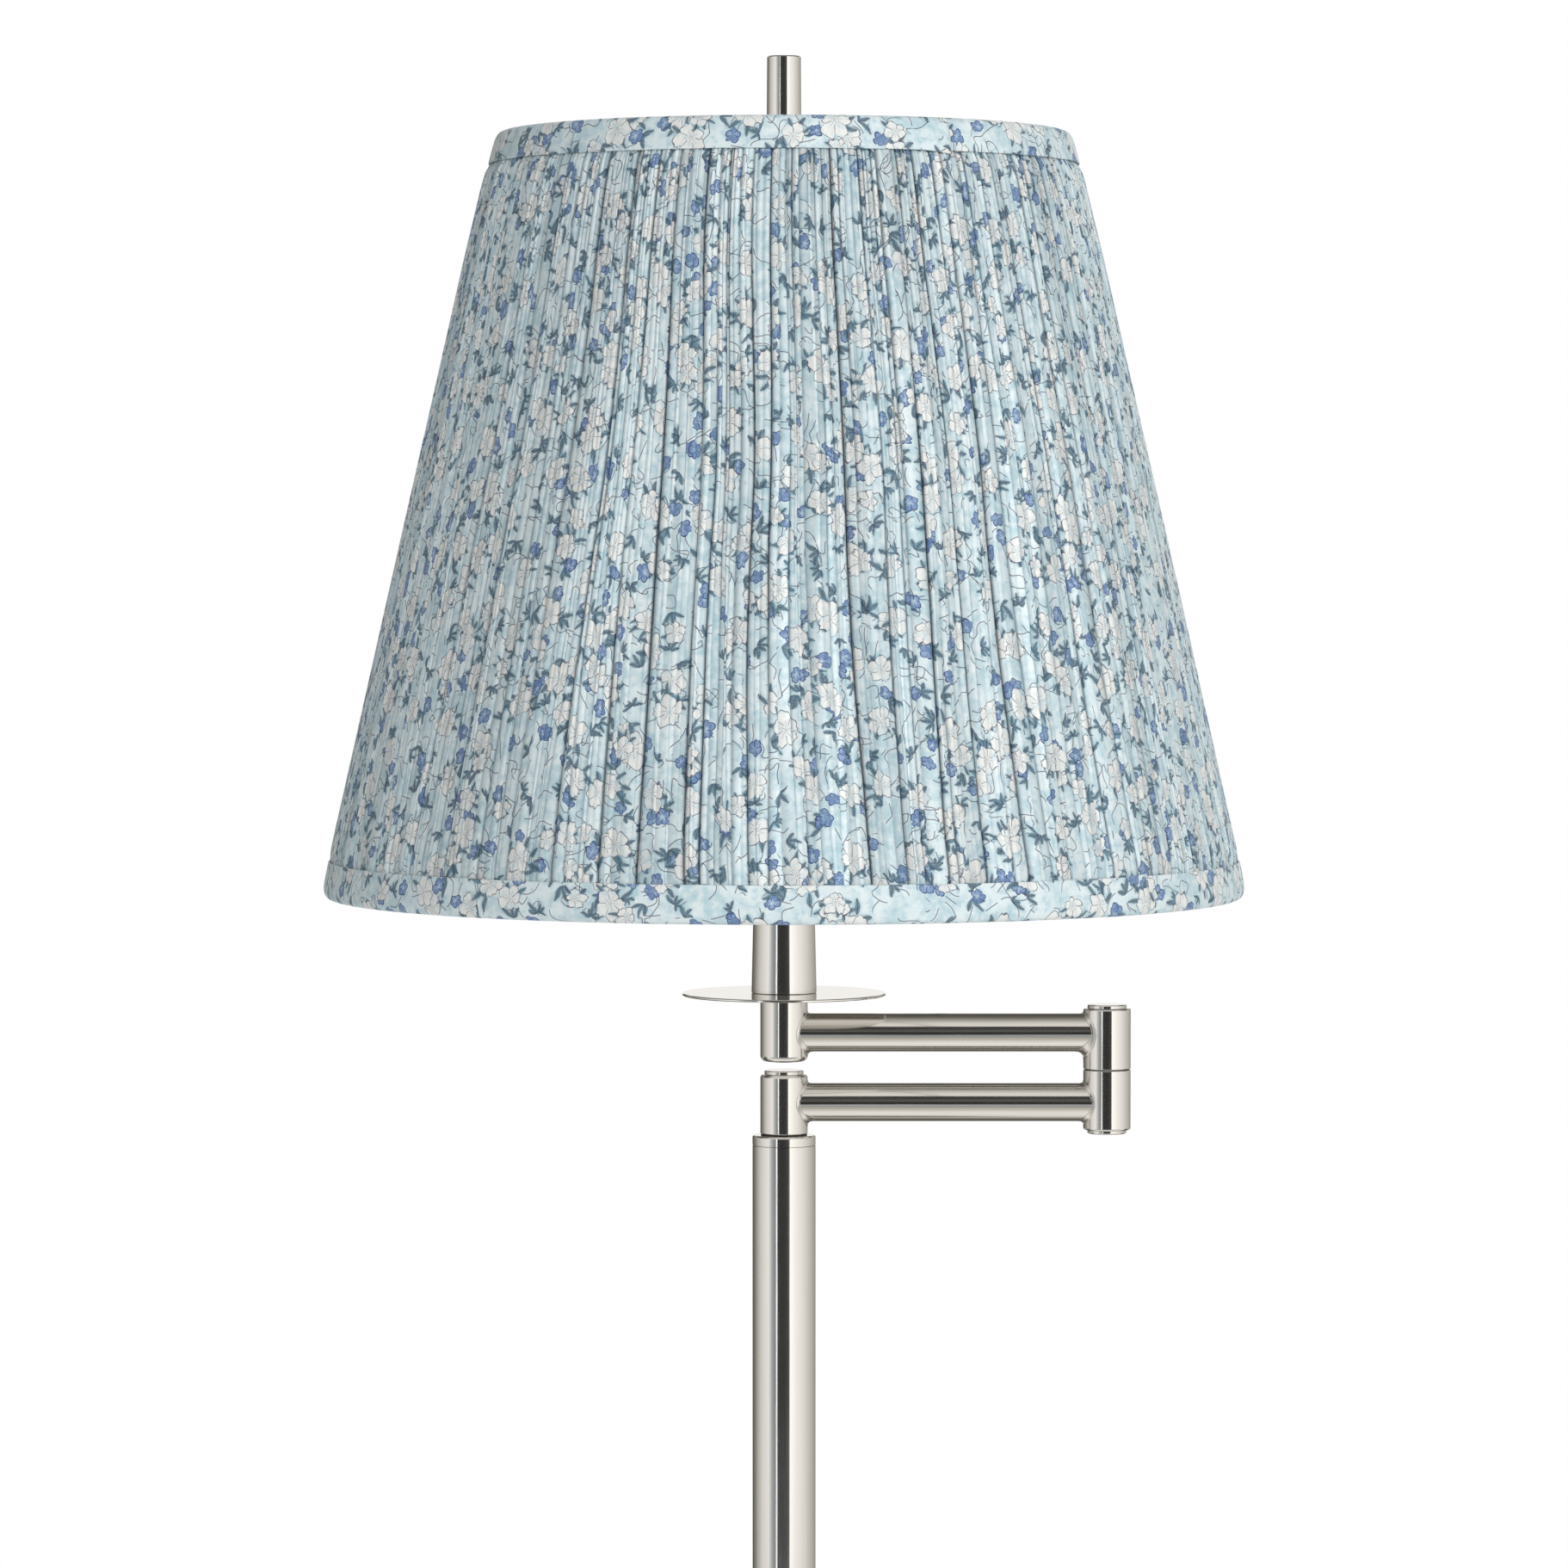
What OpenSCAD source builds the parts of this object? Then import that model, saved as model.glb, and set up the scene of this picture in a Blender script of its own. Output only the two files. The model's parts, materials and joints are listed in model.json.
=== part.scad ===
// Bridge floor lamp: a slim round pole with a folding two-part arm, a socket with a harp,
// and a gathered fabric shade held by a finial. All sizes are in millimetres.
// +Z is up, the floor is z = 0 and the pole's axis is the Z axis. The arm folds towards +X.

/* [Overall] */
// Height from the floor to the top of the finial
lamp_h = 1500; // [1400:1:1650]

/* [Base] */
// Outside diameter of the round base
base_d = 280; // [250:1:320]
// Height of the base cover above the floor
base_h = 24; // [22:1:30]
// Thickness of the spun steel cover
cover_t = 1.2; // [1:0.1:1.6]
// Thickness of the felt pad under the base
felt_t = 3; // [2:0.5:3.5]
// Bore radius of the cord bushing in the rim
cord_bore_r = 3.4; // [3:0.1:4]

/* [Pole] */
// Outside diameter of the pole
pole_d = 28; // [27:0.5:30]
// Wall thickness of the pole tube
pole_t = 1.2; // [1:0.1:1.5]
// Height of the joint between the two pole tubes
pole_joint_z = 525; // [400:1:700]

/* [Folding arm] */
// Distance between the pole pivot and the elbow pivot
arm_c = 142.5; // [130:0.5:180]
// Outside diameter of the arm tubes
arm_d = 17; // [16:0.5:18]
// Wall thickness of the arm tubes
arm_t = 1; // [0.8:0.1:1.2]
// Outside diameter of the knuckles at the tube ends
knuckle_d = 21; // [20.5:0.5:22]
// Radius of the hollow inside each knuckle
knuckle_in_r = 8.25; // [8.1:0.05:8.4]
// Outside radius of the hollow threaded nipples
nip_r = 5; // [4.8:0.05:5]
// Bore radius of the hollow threaded nipples
nip_in_r = 3.6; // [3.2:0.1:3.8]
// Half width in degrees of each stop tongue, which sets the swing
stop_half = 6; // [5:0.5:8]

/* [Neck] */
// Diameter of the thin drip disc under the neck
disc_d = 90; // [80:1:100]
// Thickness of the drip disc
disc_t = 1.2; // [1:0.1:2]
// Outside radius of the neck cup at its foot
neck_r0 = 14.4; // [14:0.1:16]
// Outside radius of the neck cup at its top
neck_r1 = 12.9; // [12:0.1:14]
// Height of the neck cup
neck_h = 69.1; // [60:0.1:80]

/* [Bulb and harp] */
// Diameter of the bulb
bulb_d = 60; // [55:1:66]
// Length of the bulb from its tip contact to its crown
bulb_l = 107; // [104:1:115]
// Diameter of the harp wire
harp_wire_d = 3.8; // [3:0.1:4.2]
// Half width of the harp at its widest
harp_half_w = 64; // [60:1:75]
// Outside radius of the finial
finial_r = 7.7; // [7:0.1:9]

/* [Shade] */
// Radius of the shade at its top edge
shade_r_top = 125.3; // [120:0.1:132]
// Radius of the shade at its bottom edge
shade_r_bot = 202.4; // [190:0.1:210]
// Upright height of the shade
shade_h = 334.5; // [320:0.5:345]
// Thickness of the gathered outer cover
shade_cover_t = 2.2; // [2:0.1:3]
// Width of the flat band round the top edge
top_trim_w = 13.7; // [10:0.1:18]
// Width of the flat band round the bottom edge
bot_trim_w = 15.6; // [12:0.1:20]
// Number of straight wire ribs in the frame
rib_n = 8; // [6:1:12]
// Number of arms of the top fitter
spider_n = 3; // [3:1:4]

/* [Hidden] */
$fn = 96;
eps = 0.05;

// Heights, from the finial down to the pole
z_shade_t = lamp_h - 33.7;
z_shade_b = z_shade_t - shade_h;
z_disc = z_shade_b - 44.4;        // underside of the drip disc
z_up = z_disc - 16.4;             // axis of the upper arm
z_lo = z_up - 30.8;               // axis of the lower arm
z_hk0 = z_up - 12.7;              // head knuckle
z_hk1 = z_up + 15.9;
z_ue0 = z_up - 15.95;             // upper half of the elbow
z_ue1 = z_up + 10.8;
z_le0 = z_lo - 12.2;              // lower half of the elbow
z_le1 = z_lo + 14.4;
z_pk0 = z_lo - 13.9;              // pole knuckle
z_pk1 = z_lo + 12.5;
z_col1 = z_pk0 - 0.5;             // collar on the pole
z_col0 = z_col1 - 4.65;
z_neck = z_disc + disc_t + 0.3;   // foot of the neck cup
z_sad = z_neck + neck_h;          // underside of the harp saddle
z_sock = z_sad + 1.6;             // foot of the socket
z_bulb = z_sock + 33.8;           // tip contact of the bulb
z_knob = z_sock + 26.4;           // axis of the switch knob
z_seat = z_shade_t - 16.9;        // seat of the shade on the harp

base_r = base_d / 2;
pole_r = pole_d / 2;
pole_in = pole_r - pole_t;
arm_r = arm_d / 2;
arm_in = arm_r - arm_t;
kn_r = knuckle_d / 2;
run_r = nip_r + 0.06;             // a hole that turns on a nipple
thr_r = nip_r + 0.03;             // a hole that is screwed onto a nipple
pin_at = 7.3;                     // the stop pins' distance from their pivot
cord_z = 9;

// Cone of the shade: radius at a height, and cosine of its slope
function cone_r(z) = shade_r_bot + (shade_r_top - shade_r_bot) * (z - z_shade_b) / shade_h;
slope_c = cos(atan((shade_r_bot - shade_r_top) / shade_h));

// Points along an arc, and mirrored and eased curves
function arc(cx, cy, r, a0, a1, n = 8) =
    [for (i = [0:n]) [cx + r * cos(a0 + (a1 - a0) * i / n), cy + r * sin(a0 + (a1 - a0) * i / n)]];
function bez(a, b, c, d, n) =
    [for (i = [0:n]) let (t = i / n, s = 1 - t)
        a * s * s * s + b * 3 * s * s * t + c * 3 * s * t * t + d * t * t * t];

// ---- shared shapes ----

// Ring between two radii
module ring(r_out, r_in, z0, z1) {
    translate([0, 0, z0]) difference() {
        cylinder(r = r_out, h = z1 - z0);
        translate([0, 0, -1]) cylinder(r = r_in, h = z1 - z0 + 2);
    }
}

// Hexagon nut on a nipple
module nut(z0, z1, circum_r) {
    translate([0, 0, z0]) difference() {
        cylinder(r = circum_r, h = z1 - z0, $fn = 6);
        translate([0, 0, -1]) cylinder(r = thr_r, h = z1 - z0 + 2);
    }
}

// Round bar with eased edges, e0 below and e1 above
module eased_bar(r, z0, z1, e0, e1) {
    rotate_extrude()
        polygon(concat([[0, z0]], arc(r - e0, z0 + e0, e0, -90, 0, 6),
            arc(r - e1, z1 - e1, e1, 0, 90, 6), [[0, z1]]));
}

// Groove for a stop pin, with its tongue left standing at the angle given
module stop_groove(z0, z1, tongue_at) {
    difference() {
        ring(pin_at + 1.3, pin_at - 1.3, z0, z1);
        rotate([0, 0, tongue_at]) translate([0, 0, z0 - 1]) linear_extrude(z1 - z0 + 2)
            polygon([[0, 0], [14 * cos(stop_half), -14 * sin(stop_half)],
                [14 * cos(stop_half), 14 * sin(stop_half)]]);
    }
}

// Cap that closes a knuckle: a low disc with a spigot, seen with the disc on top
module knuckle_cap() {
    eased_bar(8.65, 0, 1.65, 0.15, 0.6);
    translate([0, 0, -3]) difference() {
        cylinder(r = knuckle_in_r - 0.05, h = 3.1);
        translate([0, 0, -1]) cylinder(r = knuckle_in_r - 1.2, h = 3.5);
    }
}

// Tube between two knuckles, with its ends cut to their round walls
module arm_tube(z) {
    difference() {
        translate([0, 0, z]) rotate([0, 90, 0]) cylinder(r = arm_r, h = arm_c);
        translate([-1, 0, z]) rotate([0, 90, 0]) cylinder(r = arm_in, h = arm_c + 2);
        translate([0, 0, z - 20]) cylinder(r = kn_r + 0.03, h = 40);
        translate([arm_c, 0, z - 20]) cylinder(r = kn_r + 0.03, h = 40);
    }
}

// Side hole that opens a knuckle's hollow to its arm tube
module side_hole(z) {
    translate([0, 0, z]) rotate([0, 90, 0]) cylinder(r = arm_in, h = 14);
}

// Round bar along a path of [x, z] points, lying in the XZ plane
module bar_along(p, r, n = 10) {
    m = len(p);
    function tang(i) = let (a = p[max(i - 1, 0)], b = p[min(i + 1, m - 1)], d = b - a) d / norm(d);
    pts = [for (i = [0:m - 1]) let (t = tang(i)) for (k = [0:n - 1])
        [p[i][0] - r * cos(360 * k / n) * t[1], r * sin(360 * k / n), p[i][1] + r * cos(360 * k / n) * t[0]]];
    sides = [for (i = [0:m - 2]) for (k = [0:n - 1])
        [i * n + k, i * n + (k + 1) % n, (i + 1) * n + (k + 1) % n, (i + 1) * n + k]];
    ends = [[for (k = [n - 1:-1:0]) k], [for (k = [0:n - 1]) (m - 1) * n + k]];
    polyhedron(points = pts, faces = concat(sides, ends), convexity = 6);
}

// Part of the shade's cone, between two depths behind its face and two heights
module cone_shell(d0, d1, z0, z1) {
    rotate_extrude($fn = 180) polygon([
        [cone_r(z0) - d1 / slope_c, z0], [cone_r(z0) - d0 / slope_c, z0],
        [cone_r(z1) - d0 / slope_c, z1], [cone_r(z1) - d1 / slope_c, z1]]);
}

// ---- base ----

// Spun steel cover with a rounded rim and a hole for the cord bushing at the back
module base_cover() {
    e = 9;
    color([0.72, 0.70, 0.67]) difference() {
        rotate_extrude($fn = 180) polygon(concat(
            [[base_r - cover_t, 2], [base_r, 2]],
            arc(base_r - e, base_h - e, e, 0, 90, 14),
            [[34, base_h], [30, base_h + 0.6], [thr_r + 0.5, base_h + 0.6],
                [thr_r + 0.5, base_h - cover_t], [base_r - e, base_h - cover_t]],
            arc(base_r - e, base_h - e, e - cover_t, 90, 0, 14)));
        translate([0, base_r - 8, cord_z]) rotate([-90, 0, 0]) cylinder(r = 5.7, h = 12);
    }
}

// Cast iron weight, with a boss that carries the cover and a groove for the cord
module base_weight() {
    r = base_r - 6;
    color([0.20, 0.20, 0.21]) difference() {
        rotate_extrude($fn = 180) polygon([[thr_r + 0.4, felt_t + 0.1], [r - 1, felt_t + 0.1],
            [r, felt_t + 1.1], [r, base_h - 7], [r - 3, base_h - 5], [20, base_h - 5],
            [18, base_h - cover_t - 0.1], [thr_r + 0.4, base_h - cover_t - 0.1]]);
        translate([0, 0, 0]) cylinder(r = 20, h = 11);
        translate([-4.5, 0, 0]) cube([9, base_r, 13]);
    }
}

// Felt pad that the lamp stands on
module base_felt() {
    color([0.12, 0.12, 0.12]) cylinder(r = base_r - 4, h = felt_t, $fn = 180);
}

module base_washer() {
    color([0.65, 0.65, 0.66]) ring(15, thr_r + 0.2, 9.1, 10.95);
}

module base_nut() {
    color([0.65, 0.65, 0.66]) nut(4.4, 9.05, 8.6);
}

// Hollow threaded tube that draws the base and the pole together
module base_nipple() {
    color([0.68, 0.68, 0.66]) ring(nip_r, nip_in_r, felt_t + 0.6, base_h + 34);
}

// Flanged bushing that the cord leaves the rim through
module cord_bushing() {
    color([0.08, 0.08, 0.08]) translate([0, base_r - 5.5, cord_z]) rotate([-90, 0, 0])
        rotate_extrude() polygon([[cord_bore_r, 0], [5.7, 0], [5.9, 1], [5.9, 1.6], [5.6, 2.2],
            [5.6, 5.55], [7, 5.55], [7, 6.6], [6.2, 7.4], [4.3, 7.4], [cord_bore_r, 6.9]]);
}

// ---- pole ----

// Low turned ring where the pole meets the base
module pole_foot_ring() {
    color([0.74, 0.72, 0.69]) rotate_extrude() polygon(concat(
        [[thr_r + 0.5, base_h + 0.65], [22, base_h + 0.65], [22, base_h + 2.6]],
        arc(22 - 1.2, base_h + 2.6, 1.2, 0, 90, 6),
        [[pole_r + 2.2, base_h + 4.2]], arc(pole_r + 2.2, base_h + 6.2, 2, -90, -180, 6),
        [[pole_r + 0.2, base_h + 8.6], [thr_r + 0.5, base_h + 8.6]]));
}

// Threaded plug in the foot of the pole
module pole_foot_plug() {
    color([0.62, 0.62, 0.60]) ring(pole_in - eps, thr_r, base_h + 8.7, base_h + 30);
}

module pole_lower() {
    color([0.74, 0.72, 0.69]) ring(pole_r, pole_in, base_h + 8.7, pole_joint_z);
}

// Plug with a hollow stud, in the top of the lower tube
module pole_joint_plug() {
    color([0.62, 0.62, 0.60]) rotate_extrude() polygon([[4, pole_joint_z - 24],
        [pole_in - eps, pole_joint_z - 24], [pole_in - eps, pole_joint_z], [9, pole_joint_z],
        [9, pole_joint_z + 19], [8.2, pole_joint_z + 20], [4, pole_joint_z + 20]]);
}

// Threaded socket in the foot of the upper tube
module pole_joint_socket() {
    color([0.62, 0.62, 0.60]) ring(pole_in - eps, 9.05, pole_joint_z + 0.1, pole_joint_z + 24);
}

module pole_upper() {
    color([0.74, 0.72, 0.69]) ring(pole_r, pole_in, pole_joint_z + 0.1, z_col0 - 0.05);
}

// Turned collar with a spigot that closes the top of the pole
module pole_collar() {
    color([0.76, 0.74, 0.71]) difference() {
        rotate_extrude() polygon(concat(
            [[thr_r, z_col0 - 19], [pole_in - eps, z_col0 - 19], [pole_in - eps, z_col0],
                [pole_r - 0.3, z_col0], [pole_r, z_col0 + 0.3]],
            arc(pole_r - 1.1, z_col1 - 1.1, 1.1, 0, 90, 6), [[thr_r, z_col1]]));
        translate([-pin_at, 0, z_col1 - 4.2]) cylinder(r = 1.03, h = 6);
    }
}

// Hollow threaded pivot of the lower arm
module pole_pivot_nipple() {
    color([0.68, 0.68, 0.66]) ring(nip_r, nip_in_r, z_col0 - 17, z_pk0 + 11);
}

module pole_pivot_washer() {
    color([0.10, 0.10, 0.10]) difference() {
        ring(10.2, nip_r + 0.1, z_col1 + 0.03, z_pk0 - 0.1);
        translate([-pin_at, 0, z_col1 - 1]) cylinder(r = 1.1, h = 4);
    }
}

module pole_pivot_nut() {
    color([0.65, 0.65, 0.66]) nut(z_pk0 + 5.1, z_pk0 + 9.6, 7.5);
}

// Pin that ends the swing of the lower arm
module pole_stop_pin() {
    color([0.60, 0.60, 0.60]) translate([-pin_at, 0, z_col1 - 4]) cylinder(r = 1, h = 6.1);
}

// ---- lower arm ----

// Hollow knuckle that turns on the pole
module lower_arm_knuckle() {
    color([0.76, 0.74, 0.71]) difference() {
        eased_bar(kn_r, z_pk0, z_pk1, 0.5, 1.8);
        translate([0, 0, z_pk0 + 5]) cylinder(r = knuckle_in_r, h = 30);
        translate([0, 0, z_pk0 - 1]) cylinder(r = run_r, h = 8);
        side_hole(z_lo);
        stop_groove(z_pk0 - 1, z_pk0 + 2.2, 0);
    }
}

module lower_arm_tube() {
    color([0.74, 0.72, 0.69]) arm_tube(z_lo);
}

// Lower half of the elbow
module lower_arm_elbow() {
    color([0.76, 0.74, 0.71]) difference() {
        translate([arm_c, 0, 0]) eased_bar(kn_r, z_le0, z_le1, 0.9, 0.3);
        translate([arm_c, 0, z_le0 - 5]) cylinder(r = knuckle_in_r, h = z_le1 - z_le0);
        translate([arm_c, 0, z_le1 - 8]) cylinder(r = thr_r, h = 10);
        translate([arm_c, 0, 0]) mirror([1, 0, 0]) side_hole(z_lo);
        translate([arm_c + pin_at, 0, z_le1 - 3.6]) cylinder(r = 1.03, h = 6);
    }
}

module lower_knuckle_cap() {
    color([0.76, 0.74, 0.71]) translate([0, 0, z_pk1]) knuckle_cap();
}

module elbow_bottom_cap() {
    color([0.76, 0.74, 0.71]) translate([arm_c, 0, z_le0]) mirror([0, 0, 1]) knuckle_cap();
}

// Hollow threaded pivot of the upper arm
module elbow_nipple() {
    color([0.68, 0.68, 0.66]) translate([arm_c, 0, 0])
        ring(nip_r, nip_in_r, z_le1 - 7, z_ue0 + 10.4);
}

module elbow_washer() {
    color([0.10, 0.10, 0.10]) translate([arm_c, 0, 0]) difference() {
        ring(10.1, nip_r + 0.1, z_le1 + 0.03, z_ue0 - 0.1);
        translate([pin_at, 0, z_le1 - 1]) cylinder(r = 1.1, h = 4);
    }
}

module elbow_nut() {
    color([0.65, 0.65, 0.66]) translate([arm_c, 0, 0]) nut(z_ue0 + 5.1, z_ue0 + 9.6, 7.5);
}

// Pin that ends the swing of the upper arm
module elbow_stop_pin() {
    color([0.60, 0.60, 0.60]) translate([arm_c + pin_at, 0, z_le1 - 3.5]) cylinder(r = 1, h = 5.7);
}

// ---- upper arm ----

// Upper half of the elbow, which turns on the lower half
module upper_arm_elbow() {
    color([0.76, 0.74, 0.71]) difference() {
        translate([arm_c, 0, 0]) eased_bar(kn_r, z_ue0, z_ue1, 0.3, 0.9);
        translate([arm_c, 0, z_ue0 + 5]) cylinder(r = knuckle_in_r, h = 40);
        translate([arm_c, 0, z_ue0 - 1]) cylinder(r = run_r, h = 8);
        translate([arm_c, 0, 0]) mirror([1, 0, 0]) side_hole(z_up);
        translate([arm_c, 0, 0]) stop_groove(z_ue0 - 1, z_ue0 + 2.25, 180);
    }
}

module upper_arm_tube() {
    color([0.74, 0.72, 0.69]) arm_tube(z_up);
}

// Knuckle that carries the socket and the shade
module upper_arm_knuckle() {
    color([0.76, 0.74, 0.71]) difference() {
        eased_bar(kn_r, z_hk0, z_hk1, 2.4, 0.5);
        translate([0, 0, z_hk0 + 3]) cylinder(r = knuckle_in_r, h = z_hk1 - z_hk0 - 8.5);
        translate([0, 0, z_hk1 - 7]) cylinder(r = thr_r, h = 10);
        translate([0, 0, z_hk0 - 1]) cylinder(r = 5.4, h = 6);
        side_hole(z_up);
    }
}

module elbow_top_cap() {
    color([0.76, 0.74, 0.71]) translate([arm_c, 0, z_ue1]) knuckle_cap();
}

// Plug in the underside of the head knuckle
module head_plug() {
    color([0.30, 0.29, 0.28]) eased_bar(5.35, z_hk0 - 0.3, z_hk0 + 2.8, 0.3, 0.2);
}

// Long hollow threaded tube from the head knuckle up to the socket
module head_nipple() {
    color([0.68, 0.68, 0.66]) ring(nip_r, nip_in_r, z_hk1 - 11, z_sock + 7);
}

module head_nut() {
    color([0.65, 0.65, 0.66]) nut(z_hk1 - 10.1, z_hk1 - 5.55, 7.5);
}

// Thin flat disc between the knuckle and the neck, with a low hub
module drip_disc() {
    color([0.76, 0.74, 0.71]) rotate_extrude() polygon(concat(
        [[thr_r, z_hk1 + 0.05], [9.5, z_hk1 + 0.05], [9.5, z_disc], [disc_d / 2 - 0.35, z_disc]],
        [[disc_d / 2, z_disc + 0.35], [disc_d / 2, z_disc + disc_t - 0.35],
            [disc_d / 2 - 0.35, z_disc + disc_t], [thr_r, z_disc + disc_t]]));
}

// Tapered neck cup round the nipple
module neck_cup() {
    color([0.76, 0.74, 0.71]) rotate_extrude() polygon([
        [neck_r0 - 1, z_disc + disc_t + 0.05], [neck_r0 - 0.3, z_disc + disc_t + 0.05],
        [neck_r0, z_neck], [neck_r1, z_sad - 0.6], [neck_r1 - 0.6, z_sad], [thr_r, z_sad],
        [thr_r, z_sad - 2], [neck_r1 - 1, z_sad - 2]]);
}

// ---- harp ----

// Strip under the socket with two upright tongues for the harp
module harp_saddle() {
    w = 31; t = 1.5;
    color([0.70, 0.68, 0.62]) difference() {
        union() {
            rotate([90, 0, 0]) translate([0, 0, -5]) linear_extrude(10) polygon([
                [-13, z_sad + 0.05], [13, z_sad + 0.05], [24, z_sad + 3], [w - 4, z_sad + 4.4],
                [w + t / 2, z_sad + 8.2], [w + t / 2, z_sad + 15], [w - t / 2, z_sad + 15],
                [w - t / 2, z_sad + 8.8], [w - 4.6, z_sad + 5.8], [23.6, z_sad + 4.5],
                [12.7, z_sad + 1.55], [-12.7, z_sad + 1.55], [-23.6, z_sad + 4.5],
                [-w + 4.6, z_sad + 5.8], [-w + t / 2, z_sad + 8.8], [-w + t / 2, z_sad + 15],
                [-w - t / 2, z_sad + 15], [-w - t / 2, z_sad + 8.2], [-w + 4, z_sad + 4.4],
                [-24, z_sad + 3]]);
            translate([0, 0, z_sad + 0.05]) cylinder(r = 10.5, h = t);
            for (s = [-1, 1]) translate([s * w - t / 2, -1.7, z_sad + 14.9]) cube([t, 3.4, 8.1]);
        }
        translate([0, 0, z_sad - 1]) cylinder(r = thr_r, h = 4);
    }
}

// Two sleeves that lock the harp's feet on the saddle's tongues
module harp_ferrules() {
    color([0.76, 0.74, 0.71]) for (s = [-1, 1]) translate([s * 31, 0, z_sad + 15.1])
        rotate_extrude() polygon([[2.25, 0], [3.6, 0], [3.9, 0.6], [3.9, 2.4], [3.3, 3],
            [3.2, 14.4], [2.9, 15], [2.25, 15]]);
}

// Bow of round wire that carries the shade
harp_foot = z_sad + 23.3;
harp_top = z_seat - 2.6 - harp_wire_d / 2;
harp_half = concat(
    [[31, harp_foot], [31, harp_foot + 8]],
    bez([31, harp_foot + 14], [31, harp_foot + 46], [harp_half_w, harp_foot + 70],
        [harp_half_w, harp_foot + 120], 14),
    [for (i = [1:18]) bez([harp_half_w, harp_foot + 120], [harp_half_w, harp_foot + 205],
        [50, harp_top], [9, harp_top], 18)[i]]);
module harp_wire() {
    m = len(harp_half);
    color([0.72, 0.70, 0.66]) bar_along(concat(
        [for (i = [0:m - 1]) harp_half[i]],
        [for (i = [m - 1:-1:0]) [-harp_half[i][0], harp_half[i][1]]]), harp_wire_d / 2, 12);
}

// Seat and threaded stud on top of the harp
module harp_stud() {
    color([0.72, 0.70, 0.66]) rotate_extrude() polygon([[0, z_seat - 2.55], [6.6, z_seat - 2.55],
        [7.4, z_seat - 1.9], [7.4, z_seat - 0.6], [6.8, z_seat], [3.1, z_seat],
        [3.1, z_seat + 14], [2.6, z_seat + 14.6], [0, z_seat + 14.6]]);
}

// ---- socket and switch ----

// Lower cup of the socket, screwed on the nipple
module socket_cap() {
    z = z_sock;
    color([0.76, 0.74, 0.71]) rotate_extrude() polygon(concat(
        [[thr_r, z + 0.05], [9.3, z + 0.05]],
        [[11.5, z + 1.4], [14.2, z + 4], [16.2, z + 7.4], [17.1, z + 11], [17.3, z + 14],
            [17.3, z + 18.4], [16.5, z + 18.4], [16.5, z + 14.2], [16.3, z + 11.2],
            [15.4, z + 8], [13.4, z + 4.8], [10.9, z + 2.4], [8.4, z + 1.6], [8.4, z + 7.4],
            [thr_r, z + 7.4]]));
}

// Moulded body with the switch and the terminals
module socket_body() {
    z = z_sock;
    color([0.10, 0.09, 0.08]) difference() {
        rotate_extrude() polygon([[0, z + 14], [9, z + 14], [14.6, z + 17.5], [14.6, z + 32.4],
            [0, z + 32.4]]);
        translate([0, 0, z_knob]) rotate([90, 0, 0]) cylinder(r = 2.55, h = 20);
    }
}

// Threaded metal shell that takes the bulb
module socket_screw_shell() {
    z = z_sock + 32.5;
    color([0.78, 0.62, 0.32]) rotate_extrude() polygon([[9, z], [13.8, z], [13.8, z + 18.6],
        [13.4, z + 18.6], [13.4, z + 0.5], [9, z + 0.5]]);
}

// Brass tongue under the bulb's tip
module socket_contact() {
    z = z_sock + 32.5;
    color([0.80, 0.64, 0.32]) union() {
        translate([-3, -6.5, z]) cube([6, 13, 0.5]);
        translate([0, 0, z]) cylinder(r = 2.6, h = 1.2);
    }
}

// Insulating sleeve inside the socket shell
module socket_sleeve() {
    z = z_sock;
    color([0.86, 0.80, 0.66]) difference() {
        ring(15.6, 15, z + 17.2, z + 52.6);
        translate([0, 0, z_knob]) rotate([90, 0, 0]) cylinder(r = 3.2, h = 20);
    }
}

// Outer metal shell of the socket
module socket_shell() {
    z = z_sock;
    color([0.76, 0.74, 0.71]) difference() {
        rotate_extrude() polygon([[15.8, z + 16], [16.4, z + 16], [16.4, z + 52], [17, z + 52.6],
            [17, z + 53.8], [16.5, z + 54.3], [15.8, z + 54.3]]);
        translate([0, 0, z_knob]) rotate([90, 0, 0]) cylinder(r = 3.2, h = 20);
    }
}

// Turn knob of the switch, with its shaft
module switch_knob() {
    color([0.12, 0.10, 0.09]) translate([0, 0, z_knob]) rotate([90, 0, 0]) difference() {
        rotate_extrude() polygon([[0, 6], [2.2, 6], [2.2, 18], [3, 18], [3, 21], [4.6, 22],
            [5.6, 24], [6.4, 28.5], [7, 31.2], [6.9, 32.6], [6.2, 33.4], [0, 33.6]]);
        for (a = [0:30:330]) rotate([0, 0, a]) translate([7.3, 0, 23]) cylinder(r = 0.8, h = 12);
    }
}

// Screw base of the bulb, with its insulator and tip
module bulb_base() {
    z = z_bulb;
    color([0.75, 0.75, 0.74]) rotate_extrude() polygon(concat(
        [[0, z], [3.4, z], [4.6, z + 0.7], [4.6, z + 1.4], [9.4, z + 3.6], [11.8, z + 4.4]],
        [for (i = [0:4]) each [[12.3, z + 4.6 + i * 3.6], [13.1, z + 5.6 + i * 3.6],
            [13.1, z + 6.4 + i * 3.6], [12.3, z + 7.5 + i * 3.6]]],
        [[12.6, z + 24], [13.4, z + 26.6], [0, z + 26.6]]));
}

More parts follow.
